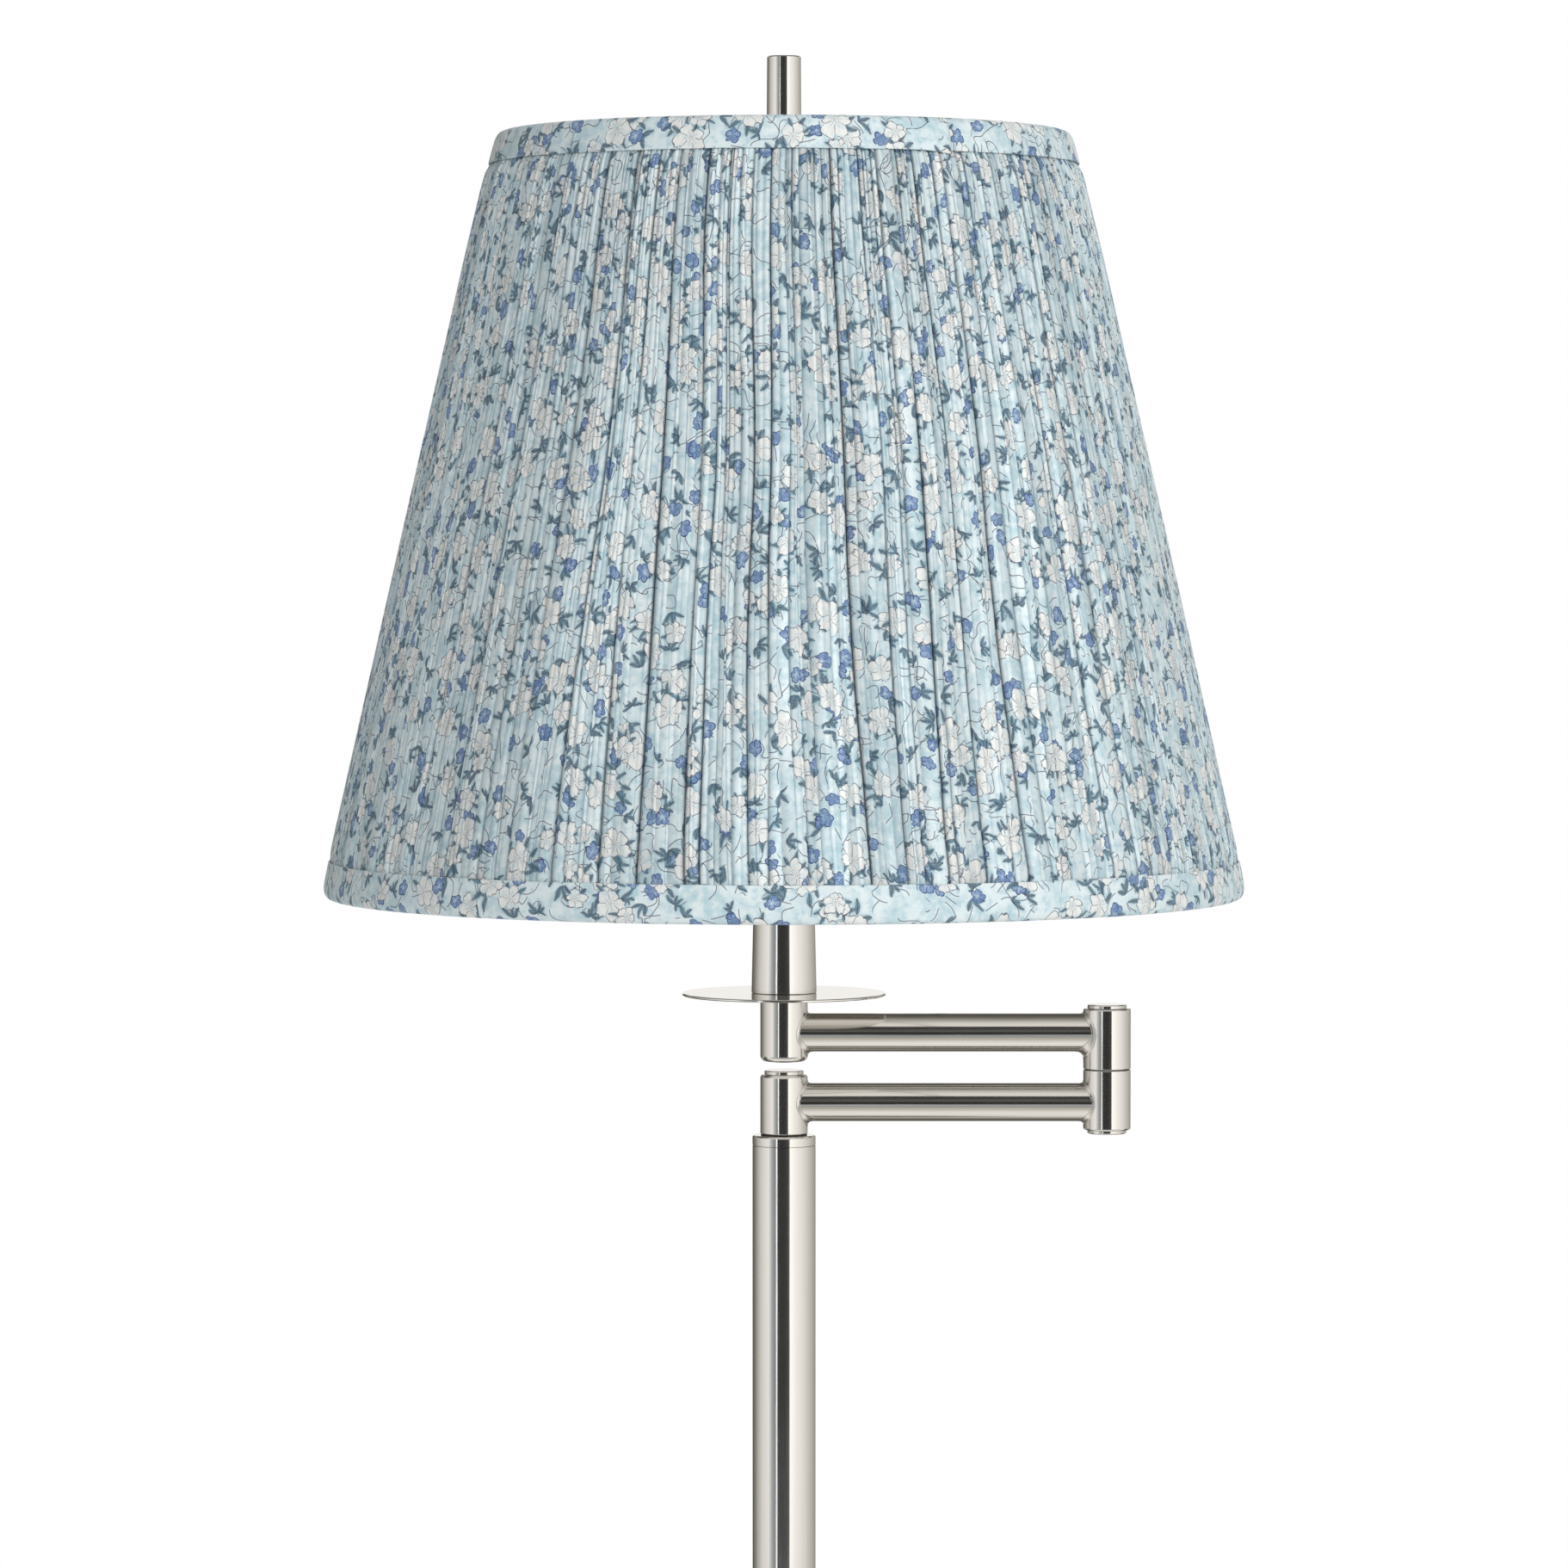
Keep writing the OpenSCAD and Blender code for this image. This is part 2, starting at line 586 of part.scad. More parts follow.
// Glass of the bulb, open at its neck
bulb_r = bulb_d / 2;
bulb_c = z_bulb + bulb_l - bulb_r;
function bulb_half(o) = concat(
    [[13.2 - o, z_bulb + 26.7]],
    [for (i = [0:9]) bez([13.2 - o, z_bulb + 29], [14 - o, z_bulb + 42],
        [bulb_r * sin(62) - o * sin(62) - 12 * cos(62), bulb_c - (bulb_r - o) * cos(62) - 12 * sin(62)],
        [(bulb_r - o) * sin(62), bulb_c - (bulb_r - o) * cos(62)], 10)[i]],
    arc(0, bulb_c, bulb_r - o, -28, 90, 22));
module bulb_globe() {
    outer = bulb_half(0);
    inner = bulb_half(0.9);
    color([0.95, 0.95, 0.93]) rotate_extrude() polygon(concat(outer,
        [for (i = [len(inner) - 1:-1:0]) inner[i]]));
}

// ---- shade ----

ring_r = 1.6;
rib_r = 1.3;
ring_d = 2.3 + ring_r;     // depth of the rings' centres behind the shade's face
rib_d = 2.3 + rib_r;
z_rt = z_shade_t - 2.3;
z_rb = z_shade_b + 2.3;

module shade_top_ring() {
    color([0.85, 0.85, 0.84]) rotate_extrude($fn = 180)
        translate([cone_r(z_rt) - ring_d / slope_c, z_rt]) circle(r = ring_r, $fn = 24);
}

module shade_bottom_ring() {
    color([0.85, 0.85, 0.84]) rotate_extrude($fn = 180)
        translate([cone_r(z_rb) - ring_d / slope_c, z_rb]) circle(r = ring_r, $fn = 24);
}

// Straight wires from ring to ring
module shade_ribs() {
    r0 = cone_r(z_rb) - rib_d / slope_c;
    tilt = atan((shade_r_bot - shade_r_top) / shade_h);
    len = (z_rt - z_rb) / slope_c;
    color([0.85, 0.85, 0.84]) for (i = [0:rib_n - 1]) rotate([0, 0, 360 * (i + 0.5) / rib_n])
        translate([r0, 0, z_rb]) rotate([0, -tilt, 0]) translate([0, 0, ring_r + 0.1])
            cylinder(r = rib_r, h = len - 2 * ring_r - 0.2, $fn = 24);
}

// Washer in the middle of the top fitter, which sits on the harp
module spider_washer() {
    color([0.80, 0.79, 0.76]) ring(11, 3.5, z_seat + 0.05, z_seat + 1.65);
}

// Bent wires from the washer out to the top ring
module spider_arms() {
    zc = z_seat + 0.9;
    r_end = cone_r(z_rt) - (ring_d + ring_r + 0.1) / slope_c;
    path = concat([[11.05, zc], [30, zc], [70, zc], [r_end - 18, zc]],
        [for (i = [1:5]) bez([r_end - 14, zc], [r_end - 9.5, zc], [r_end - 6.5, zc + 2.4],
            [r_end - 4.6, zc + 5], 5)[i]],
        [[r_end, z_rt - 1.3]]);
    color([0.85, 0.85, 0.84]) for (i = [0:spider_n - 1]) rotate([0, 0, 90 + 360 * i / spider_n])
        bar_along(path, 1.5, 10);
}

// Gathered outer cover, drawn here as a plain cone of its thickness
module shade_cover() {
    color([0.75, 0.85, 0.88]) cone_shell(0, shade_cover_t, z_shade_b + 0.3, z_shade_t - 0.3);
}

// Smooth white lining on the inside of the wires
module shade_liner() {
    color([0.95, 0.94, 0.91]) cone_shell(5.65, 6.25, z_rb, z_shade_t - 8);
}

// Flat bands over the edges of the cover
module top_trim() {
    color([0.72, 0.83, 0.87]) cone_shell(-1, -0.08, z_shade_t - top_trim_w, z_shade_t);
}

module bottom_trim() {
    color([0.72, 0.83, 0.87]) cone_shell(-1, -0.08, z_shade_b, z_shade_b + bot_trim_w);
}

// Cylinder that is screwed down on the shade
module finial() {
    r = finial_r;
    z = z_seat + 1.75;
    color([0.76, 0.74, 0.71]) rotate_extrude() polygon([[3.15, z], [6.3, z], [6.7, z + 0.5],
        [6.7, z + 1.8], [6.2, z + 2.4], [4.6, z + 2.9], [4.6, z + 7], [r - 0.5, z + 7.6],
        [r, z + 8.2], [r - 0.25, lamp_h - 0.5], [r - 0.75, lamp_h], [0, lamp_h],
        [0, z + 14], [3.15, z + 14]]);
}

base_cover();
base_weight();
base_felt();
base_washer();
base_nut();
base_nipple();
cord_bushing();
pole_foot_ring();
pole_foot_plug();
pole_lower();
pole_joint_plug();
pole_joint_socket();
pole_upper();
pole_collar();
pole_pivot_nipple();
pole_pivot_washer();
pole_pivot_nut();
pole_stop_pin();
lower_arm_knuckle();
lower_arm_tube();
lower_arm_elbow();
lower_knuckle_cap();
elbow_bottom_cap();
elbow_nipple();
elbow_washer();
elbow_nut();
elbow_stop_pin();
upper_arm_elbow();
upper_arm_tube();
upper_arm_knuckle();
elbow_top_cap();
head_plug();
head_nipple();
head_nut();
drip_disc();
neck_cup();
harp_saddle();
harp_ferrules();
harp_wire();
harp_stud();
socket_cap();
socket_body();
socket_screw_shell();
socket_contact();
socket_sleeve();
socket_shell();
switch_knob();
bulb_globe();
bulb_base();
shade_top_ring();
shade_bottom_ring();
shade_ribs();
spider_washer();
spider_arms();
shade_cover();
shade_liner();
top_trim();
bottom_trim();
finial();
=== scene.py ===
import json
import math
import random

import bpy
import numpy as np
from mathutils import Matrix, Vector


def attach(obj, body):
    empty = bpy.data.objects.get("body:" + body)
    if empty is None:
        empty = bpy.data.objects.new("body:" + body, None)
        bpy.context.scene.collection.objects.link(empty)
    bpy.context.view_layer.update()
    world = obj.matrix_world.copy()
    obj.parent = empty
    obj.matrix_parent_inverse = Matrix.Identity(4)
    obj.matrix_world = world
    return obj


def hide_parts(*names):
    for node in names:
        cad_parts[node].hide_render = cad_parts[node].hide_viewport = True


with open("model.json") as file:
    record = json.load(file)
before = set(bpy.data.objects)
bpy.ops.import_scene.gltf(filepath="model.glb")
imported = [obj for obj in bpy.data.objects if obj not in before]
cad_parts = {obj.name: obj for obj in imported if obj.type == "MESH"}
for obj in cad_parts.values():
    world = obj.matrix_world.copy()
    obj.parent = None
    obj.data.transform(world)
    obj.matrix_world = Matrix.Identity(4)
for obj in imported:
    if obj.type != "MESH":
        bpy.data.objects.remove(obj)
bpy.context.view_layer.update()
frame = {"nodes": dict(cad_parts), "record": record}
NODES = frame["nodes"]
MM = 0.001

# ---------------------------------------------------------------------------------------------
# Camera, stage and light
# ---------------------------------------------------------------------------------------------
SCENE = bpy.context.scene
CAM_D, CAM_Z, FOCAL_PX, CENTRE_PX, HORIZON_PX = 2.75, 1.294, 7260.0, 911.0, 611.8

cam_data = bpy.data.cameras.new("camera")
cam_data.sensor_fit = "HORIZONTAL"
cam_data.sensor_width = 36.0
cam_data.lens = FOCAL_PX / 1822.0 * 36.0
cam_data.dof.use_dof = False
cam_data.clip_start = 0.05
cam_data.clip_end = 60.0
cam = bpy.data.objects.new("camera", cam_data)
SCENE.collection.objects.link(cam)
cam.location = (0.0, -CAM_D, CAM_Z)
cam.rotation_euler = (math.pi / 2 - math.atan((CENTRE_PX - HORIZON_PX) / FOCAL_PX), 0.0, 0.0)
SCENE.camera = cam

SCENE.view_settings.view_transform = "Standard"
SCENE.view_settings.look = "None"
SCENE.view_settings.exposure = 0.0
SCENE.view_settings.gamma = 1.0


# ---------------------------------------------------------------------------------------------
# A small builder for node graphs: V holds a socket or a plain number, and plain numbers fold
# ---------------------------------------------------------------------------------------------
class V:
    def __init__(self, g, s):
        self.g, self.s = g, s

    def __add__(self, o):
        return self.g.m("ADD", self, o)

    __radd__ = __add__

    def __sub__(self, o):
        return self.g.m("SUBTRACT", self, o)

    def __rsub__(self, o):
        return self.g.m("SUBTRACT", o, self)

    def __mul__(self, o):
        return self.g.m("MULTIPLY", self, o)

    __rmul__ = __mul__

    def __truediv__(self, o):
        return self.g.m("DIVIDE", self, o)

    def __neg__(self):
        return self.g.m("MULTIPLY", self, -1.0)


class Graph:
    def __init__(self, tree):
        self.tree = tree

    def node(self, kind, **props):
        n = self.tree.nodes.new(kind)
        for k, v in props.items():
            setattr(n, k, v)
        return n

    def put(self, socket, value):
        if isinstance(value, V):
            self.tree.links.new(value.s, socket)
        elif hasattr(value, "is_linked"):
            self.tree.links.new(value, socket)
        else:
            socket.default_value = value

    def m(self, op, *args, clamp=False):
        n = self.node("ShaderNodeMath", operation=op, use_clamp=clamp)
        for i, a in enumerate(args):
            self.put(n.inputs[i], a)
        return V(self, n.outputs[0])

    def mad(self, a, b, c):
        return self.m("MULTIPLY_ADD", a, b, c)

    def abs(self, a):
        return self.m("ABSOLUTE", a)

    def sin(self, a):
        return self.m("SINE", a)

    def cos(self, a):
        return self.m("COSINE", a)

    def pow(self, a, b):
        return self.m("POWER", a, b)

    def fract(self, a):
        return self.m("FRACT", a)

    def floor(self, a):
        return self.m("FLOOR", a)

    def min(self, a, b):
        return self.m("MINIMUM", a, b)

    def max(self, a, b):
        return self.m("MAXIMUM", a, b)

    def gt(self, a, b):
        return self.m("GREATER_THAN", a, b)

    def lt(self, a, b):
        return self.m("LESS_THAN", a, b)

    def ramp(self, x, lo, hi, a=0.0, b=1.0, smooth=True):
        """a below lo, b above hi, eased between them. lo may be above hi."""
        n = self.node("ShaderNodeMapRange", interpolation_type="SMOOTHSTEP" if smooth else "LINEAR")
        n.clamp = True
        if lo > hi:
            lo, hi, a, b = hi, lo, b, a
        for i, v in enumerate((x, lo, hi, a, b)):
            self.put(n.inputs[i], v)
        return V(self, n.outputs[0])

    def v(self, op, *args, scale=None):
        n = self.node("ShaderNodeVectorMath", operation=op)
        for i, a in enumerate(args):
            self.put(n.inputs[i], a)
        if scale is not None:
            self.put(n.inputs["Scale"], scale)
        return V(self, n.outputs["Value" if op in ("LENGTH", "DOT_PRODUCT", "DISTANCE") else "Vector"])

    def xyz(self, vec):
        n = self.node("ShaderNodeSeparateXYZ")
        self.put(n.inputs[0], vec)
        return V(self, n.outputs[0]), V(self, n.outputs[1]), V(self, n.outputs[2])

    def vec(self, x, y, z=0.0):
        n = self.node("ShaderNodeCombineXYZ")
        for i, a in enumerate((x, y, z)):
            self.put(n.inputs[i], a)
        return V(self, n.outputs[0])

    def rot(self, vec, angle):
        n = self.node("ShaderNodeVectorRotate", rotation_type="Z_AXIS")
        self.put(n.inputs["Vector"], vec)
        self.put(n.inputs["Angle"], angle)
        return V(self, n.outputs[0])

    def noise(self, vec, scale, detail=0.0, dims="2D", rough=0.5, distortion=0.0):
        n = self.node("ShaderNodeTexNoise", noise_dimensions=dims)
        self.put(n.inputs["Vector"], vec)
        n.inputs["Scale"].default_value = scale
        n.inputs["Detail"].default_value = detail
        n.inputs["Roughness"].default_value = rough
        n.inputs["Distortion"].default_value = distortion
        return V(self, n.outputs[0]), V(self, n.outputs[1])

    def white(self, vec):
        n = self.node("ShaderNodeTexWhiteNoise", noise_dimensions="2D")
        self.put(n.inputs["Vector"], vec)
        return V(self, n.outputs["Value"]), V(self, n.outputs["Color"])

    def mix(self, fac, a, b):
        n = self.node("ShaderNodeMix", data_type="RGBA", blend_type="MIX")
        n.clamp_factor = True
        self.put(n.inputs["Factor"], fac)
        for name, val in (("A", a), ("B", b)):
            s = [i for i in n.inputs if i.name == name and i.type == "RGBA"][0]
            self.put(s, (*val, 1.0) if isinstance(val, tuple) else val)
        return V(self, [o for o in n.outputs if o.type == "RGBA"][0])

    def mul(self, colour, factor):
        """Colour times a grey factor."""
        return self.v("SCALE", colour, scale=factor)

    def curve(self, x, stops):
        """Colour ramp with linear stops of (place, (r, g, b))."""
        n = self.node("ShaderNodeValToRGB")
        self.put(n.inputs[0], x)
        e = n.color_ramp.elements
        while len(e) > 1:
            e.remove(e[-1])
        e[0].position, e[0].color = stops[0][0], (*stops[0][1], 1.0)
        for p, c in stops[1:]:
            k = e.new(p)
            k.color = (*c, 1.0)
        return V(self, n.outputs[0])


def srgb(r, g, b):
    """8-bit screen colour to the linear colour that the shaders take."""
    f = lambda c: (c / 255 / 12.92) if c <= 10.3 else ((c / 255 + 0.055) / 1.055) ** 2.4
    return (f(r), f(g), f(b))


def grey(v):
    return (v, v, v)


# World: white to the eye, a soft studio to matt surfaces, and dark flags and bright cards to
# polished ones
def make_world():
    world = bpy.data.worlds.new("studio")
    SCENE.world = world
    world.use_nodes = True
    world.cycles.sampling_method = "NONE"
    t = world.node_tree
    t.nodes.clear()
    g = Graph(t)
    co = g.node("ShaderNodeTexCoord")
    x, y, z = g.xyz(co.outputs["Generated"])
    deg = 180 / math.pi
    az = g.m("ARCTAN2", x, -y) * deg                      # 0 towards -Y, positive towards +X
    el = g.m("ARCSINE", z) * deg
    tip = g.m("ARCTAN2", z, -y) * deg                     # 0 towards -Y, 90 up, 180 towards +Y
    w = lambda k: (k, k * (0.985 if k > 0.75 else 0.968), k * (0.955 if k > 0.75 else 0.89))
    c = lambda k: (0.94 * k, 0.98 * k, k)
    turn = lambda stops: [((d + 180.0) / 360.0, col) for d, col in stops]
    # what a level ray meets all the way round
    level = g.curve(g.mad(az, 1 / 360.0, 0.5), turn([
        (-180, w(1.0)), (-169, w(1.0)), (-166, w(0.12)), (-152, w(0.12)), (-126, w(0.30)), (-108, w(0.60)),
        (-93, w(0.79)), (-81, w(0.91)), (-69, w(1.0)), (-57, w(1.10)), (-53, c(0.85)), (-44, c(0.52)),
        (-36, c(0.37)), (-29.5, c(0.24)), (-28.5, c(2.0)), (-26, c(2.0)), (-24.5, grey(0.05)),
        (0, grey(0.040)), (19.5, grey(0.075)), (21, w(1.50)), (29, w(1.38)), (49, w(1.18)),
        (70, w(1.03)), (82, w(0.92)), (95, w(0.81)), (110, w(0.70)), (129, w(0.55)), (159, w(0.34)),
        (167, w(0.30)), (170, w(1.0)), (180, w(1.0))]))
    # what a ray in the plane of the camera and the pole meets
    upright = g.curve(g.mad(tip, 1 / 360.0, 0.5), turn([
        (-180, w(0.8)), (-160, w(0.5)), (-143, w(0.10)), (-120, w(0.16)), (-103, w(0.45)), (-88, w(0.97)),
        (-76, w(1.00)), (-64, w(1.10)), (-52, w(0.92)), (-42, w(0.74)), (-31, w(0.55)), (-21, c(0.42)),
        (-15, c(0.40)), (-13, c(0.80)), (-9, c(0.80)), (-6, w(0.30)), (2, w(0.20)), (9, w(0.15)),
        (19, w(0.10)), (29, c(0.050)), (36.5, grey(0.040)), (38.5, w(0.88)), (50, w(0.96)), (64, w(0.76)),
        (77, w(0.55)), (91, w(0.34)), (107, w(0.17)), (128, w(0.10)), (148, w(0.14)), (158, w(0.7)),
        (180, w(0.8))]))
    ahead = g.ramp(g.abs(az), 24, 15)
    steep = g.max(g.max(g.ramp(el, 15, 24), g.ramp(el, 5, 9) * ahead), g.ramp(el, -10, -12))
    gloss = g.mix(steep, level, upright)
    # matt surfaces: a big soft window to the right, and less light from the left
    blue = lambda k: (0.985 * k, 1.0 * k, 1.005 * k)
    soft = g.curve(g.mad(az, 1 / 360.0, 0.5), turn([
        (-180, blue(0.40)), (-120, blue(0.08)), (-75, blue(0.06)), (-35, blue(0.42)), (-8, blue(1.16)),
        (25, blue(1.16)), (60, blue(0.42)), (120, blue(0.27)), (180, blue(0.40))]))
    soft = g.mul(soft, g.ramp(z, -0.6, 0.7, 0.86, 1.12))
    path = g.node("ShaderNodeLightPath")
    sees = g.mix(path.outputs["Is Glossy Ray"], soft, gloss)
    sees = g.mix(path.outputs["Is Camera Ray"], sees, (1.0, 1.0, 1.0))
    bg = g.node("ShaderNodeBackground")
    g.put(bg.inputs["Color"], sees)
    bg.inputs["Strength"].default_value = 1.0
    out = g.node("ShaderNodeOutputWorld")
    t.links.new(bg.outputs[0], out.inputs[0])


make_world()


def area_light(name, at, to, size, watts, colour=(1, 1, 1)):
    d = bpy.data.lights.new(name, "AREA")
    d.shape = "RECTANGLE"
    d.size, d.size_y = size
    d.energy = watts
    d.color = colour
    o = bpy.data.objects.new(name, d)
    SCENE.collection.objects.link(o)
    o.location = at
    o.rotation_euler = (Vector(to) - Vector(at)).to_track_quat("-Z", "Y").to_euler()
    o.visible_glossy = False
    o.visible_camera = False
    return o


area_light("key", (2.2, -1.9, 2.0), (0, 0, 1.28), (0.45, 0.8), 19, (1.0, 0.995, 0.985))
area_light("fill", (-1.1, -2.4, 2.0), (0, 0, 1.28), (0.5, 0.8), 8, (1.0, 1.0, 1.0))
area_light("back", (0.6, 2.4, 2.6), (0, 0, 1.1), (1.6, 1.6), 42)


def make_floor():
    me = bpy.data.meshes.new("floor")
    n, r = 96, 3.9
    vs = [(r * math.cos(2 * math.pi * i / n), r * math.sin(2 * math.pi * i / n), -0.0004) for i in range(n)]
    me.from_pydata(vs, [], [list(range(n))])
    o = bpy.data.objects.new("floor", me)
    SCENE.collection.objects.link(o)
    mat = bpy.data.materials.new("floor")
    mat.use_nodes = True
    t = mat.node_tree
    t.nodes.clear()
    g = Graph(t)
    co = g.node("ShaderNodeTexCoord")
    dist = g.v("LENGTH", co.outputs["Object"])
    b = g.node("ShaderNodeBsdfPrincipled")
    b.inputs["Base Color"].default_value = (0.86, 0.86, 0.855, 1)
    b.inputs["Roughness"].default_value = 0.9
    b.inputs["Specular IOR Level"].default_value = 0.1
    b.inputs["Emission Color"].default_value = (1, 1, 1, 1)
    b.inputs["Emission Strength"].default_value = 0.16
    clear = g.node("ShaderNodeBsdfTransparent")
    mx = g.node("ShaderNodeMixShader")
    under = g.node("ShaderNodeNewGeometry").outputs["Backfacing"]      # from below it isn't in the way
    g.put(mx.inputs[0], g.max(g.ramp(dist, 1.6, 3.8), under))
    t.links.new(b.outputs[0], mx.inputs[1])
    t.links.new(clear.outputs[0], mx.inputs[2])
    out = g.node("ShaderNodeOutputMaterial")
    t.links.new(mx.outputs[0], out.inputs[0])
    me.materials.append(mat)
    o.visible_glossy = False


make_floor()


# ---------------------------------------------------------------------------------------------
# Materials
# ---------------------------------------------------------------------------------------------
def new_material(name):
    mat = bpy.data.materials.new(name)
    mat.use_nodes = True
    mat.node_tree.nodes.clear()
    g = Graph(mat.node_tree)
    b = g.node("ShaderNodeBsdfPrincipled")
    out = g.node("ShaderNodeOutputMaterial")
    mat.node_tree.links.new(b.outputs[0], out.inputs[0])
    return mat, g, b


def bump(g, b, height, distance, strength=1.0):
    n = g.node("ShaderNodeBump")
    n.inputs["Strength"].default_value = strength
    n.inputs["Distance"].default_value = distance
    g.put(n.inputs["Height"], height)
    g.tree.links.new(n.outputs[0], b.inputs["Normal"])


def metal(name, colour, rough, along="z", streak=0.05, rough_var=0.05, grain_bump=0.0000025, centre=(0.0, 0.0),
          ripple=0.5):
    """Brushed metal. along is the way that the brush went: z, x, or round for turned faces. ripple is
    the height of the broad streaks beside the fine ones'."""
    mat, g, b = new_material(name)
    co = g.node("ShaderNodeTexCoord")
    pos = V(g, co.outputs["Object"])
    if along == "round":
        x, y, z = g.xyz(pos)
        r = g.v("LENGTH", g.vec(x - centre[0], y - centre[1]))
        fine = g.noise(g.vec(r * 1.0, z * 1.0, 0.0), 5200.0, 2.0, "2D", 0.6)[0]
        broad = g.noise(g.vec(r, z, 0.0), 900.0, 1.0, "2D")[0]
    else:
        k = {"z": (1.0, 1.0, 0.006), "x": (0.006, 1.0, 1.0)}[along]
        mp = g.v("MULTIPLY", pos, k)
        fine = g.noise(mp, 5200.0, 2.0, "3D", 0.6)[0]
        broad = g.noise(mp, 1150.0, 1.5, "3D")[0]
    smudge = g.noise(pos, 45.0, 2.0, "3D")[0]
    tone = g.mad(fine - 0.5, streak * 2, g.mad(broad - 0.5, streak, 1.0))
    dark = tuple(c * 0.97 for c in colour)
    g.put(b.inputs["Base Color"], g.mul(g.mix(smudge, dark, colour), tone))
    g.put(b.inputs["Roughness"], g.mad(fine - 0.5, rough_var * 2, g.mad(smudge - 0.5, 0.04, rough)))
    b.inputs["Metallic"].default_value = 1.0
    bump(g, b, g.mad(broad, ripple, fine), grain_bump, 1.0)
    return mat


NICKEL = (0.735, 0.715, 0.685)
nickel_z = metal("nickel_upright", NICKEL, 0.095, "z", 0.06, ripple=2.0)
nickel_x = metal("nickel_lengthwise", (0.71, 0.69, 0.65), 0.115, "x", 0.12, 0.07, ripple=6.0)
nickel_pole = metal("nickel_pole", NICKEL, 0.10, "z", 0.07, ripple=1.6)
nickel_turn = metal("nickel_turned", NICKEL, 0.13, "round", 0.035, 0.04)
nickel_base = metal("nickel_base", NICKEL, 0.26, "round", 0.045, 0.05)
nickel_elbow = metal("nickel_elbow_cap", NICKEL, 0.12, "round", 0.035, 0.04, centre=(0.1425, 0.0))
nickel_wire = metal("nickel_wire", (0.70, 0.68, 0.645), 0.22, "z", 0.03)
nickel_weld = metal("nickel_weld", (0.72, 0.70, 0.665), 0.22, "z", 0.02, 0.05)
steel = metal("zinc_steel", (0.60, 0.60, 0.60), 0.34, "round", 0.05, 0.08)
brass = metal("brass", (0.80, 0.60, 0.27), 0.30, "round", 0.04, 0.06)
alu = metal("aluminium_cap", (0.78, 0.78, 0.775), 0.34, "round", 0.03, 0.06)


def moulded(name, colour, rough, speck=0.10, grain=0.00004, scale=1500.0, spec=0.5):
    mat, g, b = new_material(name)
    co = g.node("ShaderNodeTexCoord")
    n1 = g.noise(co.outputs["Object"], scale, 3.0, "3D", 0.6)[0]
    n2 = g.noise(co.outputs["Object"], 60.0, 2.0, "3D")[0]
    g.put(b.inputs["Base Color"], g.mul(g.mix(n2, tuple(c * 0.85 for c in colour), colour),
                                        g.mad(n1 - 0.5, 2 * speck, 1.0)))
    g.put(b.inputs["Roughness"], g.mad(n1 - 0.5, 0.16, rough))
    b.inputs["Specular IOR Level"].default_value = spec
    bump(g, b, n1, grain, 0.6)
    return mat


iron = moulded("cast_iron", (0.055, 0.055, 0.06), 0.62, 0.25, 0.0004, 420.0)
nylon = moulded("nylon", (0.022, 0.022, 0.023), 0.45)
bushing = moulded("bushing", (0.028, 0.028, 0.030), 0.48)
phenolic = moulded("phenolic", (0.035, 0.026, 0.021), 0.32, 0.2)
knob = moulded("knob", (0.030, 0.025, 0.022), 0.24, 0.12, 0.00001)
paper = moulded("insulating_paper", (0.62, 0.52, 0.34), 0.8, 0.12, 0.0001, 900.0, 0.2)


def felt_material():
    mat, g, b = new_material("felt")
    co = g.node("ShaderNodeTexCoord")
    fibre = g.noise(co.outputs["Object"], 1800.0, 4.0, "3D", 0.7, 2.0)[0]
    blotch = g.noise(co.outputs["Object"], 120.0, 2.0, "3D")[0]
    g.put(b.inputs["Base Color"], g.mul(g.mix(blotch, (0.018, 0.018, 0.019), (0.032, 0.032, 0.034)),
                                        g.mad(fibre, 1.2, 0.4)))
    b.inputs["Roughness"].default_value = 0.95
    b.inputs["Specular IOR Level"].default_value = 0.15
    b.inputs["Sheen Weight"].default_value = 0.4
    b.inputs["Sheen Roughness"].default_value = 0.5
    bump(g, b, fibre, 0.0005, 0.9)
    return mat


felt = felt_material()


def wire_material():
    mat, g, b = new_material("coated_wire")
    co = g.node("ShaderNodeTexCoord")
    n1 = g.noise(co.outputs["Object"], 700.0, 2.0, "3D")[0]
    n2 = g.noise(co.outputs["Object"], 40.0, 2.0, "3D")[0]
    g.put(b.inputs["Base Color"], g.mix(n2, (0.78, 0.77, 0.74), (0.84, 0.83, 0.81)))
    g.put(b.inputs["Roughness"], g.mad(n1, 0.16, 0.30))
    b.inputs["Coat Weight"].default_value = 0.25
    bump(g, b, n1, 0.00005, 0.5)
    return mat


wire = wire_material()


def bulb_material():
    mat, g, b = new_material("bulb_glass")
    co = g.node("ShaderNodeTexCoord")
    n1 = g.noise(co.outputs["Object"], 260.0, 3.0, "3D")[0]
    g.put(b.inputs["Base Color"], g.mix(n1, (0.86, 0.86, 0.84), (0.92, 0.92, 0.905)))
    g.put(b.inputs["Roughness"], g.mad(n1, 0.12, 0.16))
    b.inputs["Subsurface Weight"].default_value = 0.3
    b.inputs["Subsurface Radius"].default_value = (0.004, 0.004, 0.004)
    b.inputs["Coat Weight"].default_value = 0.6
    b.inputs["Coat Roughness"].default_value = 0.12
    bump(g, b, n1, 0.00002, 0.4)
    return mat


bulb = bulb_material()


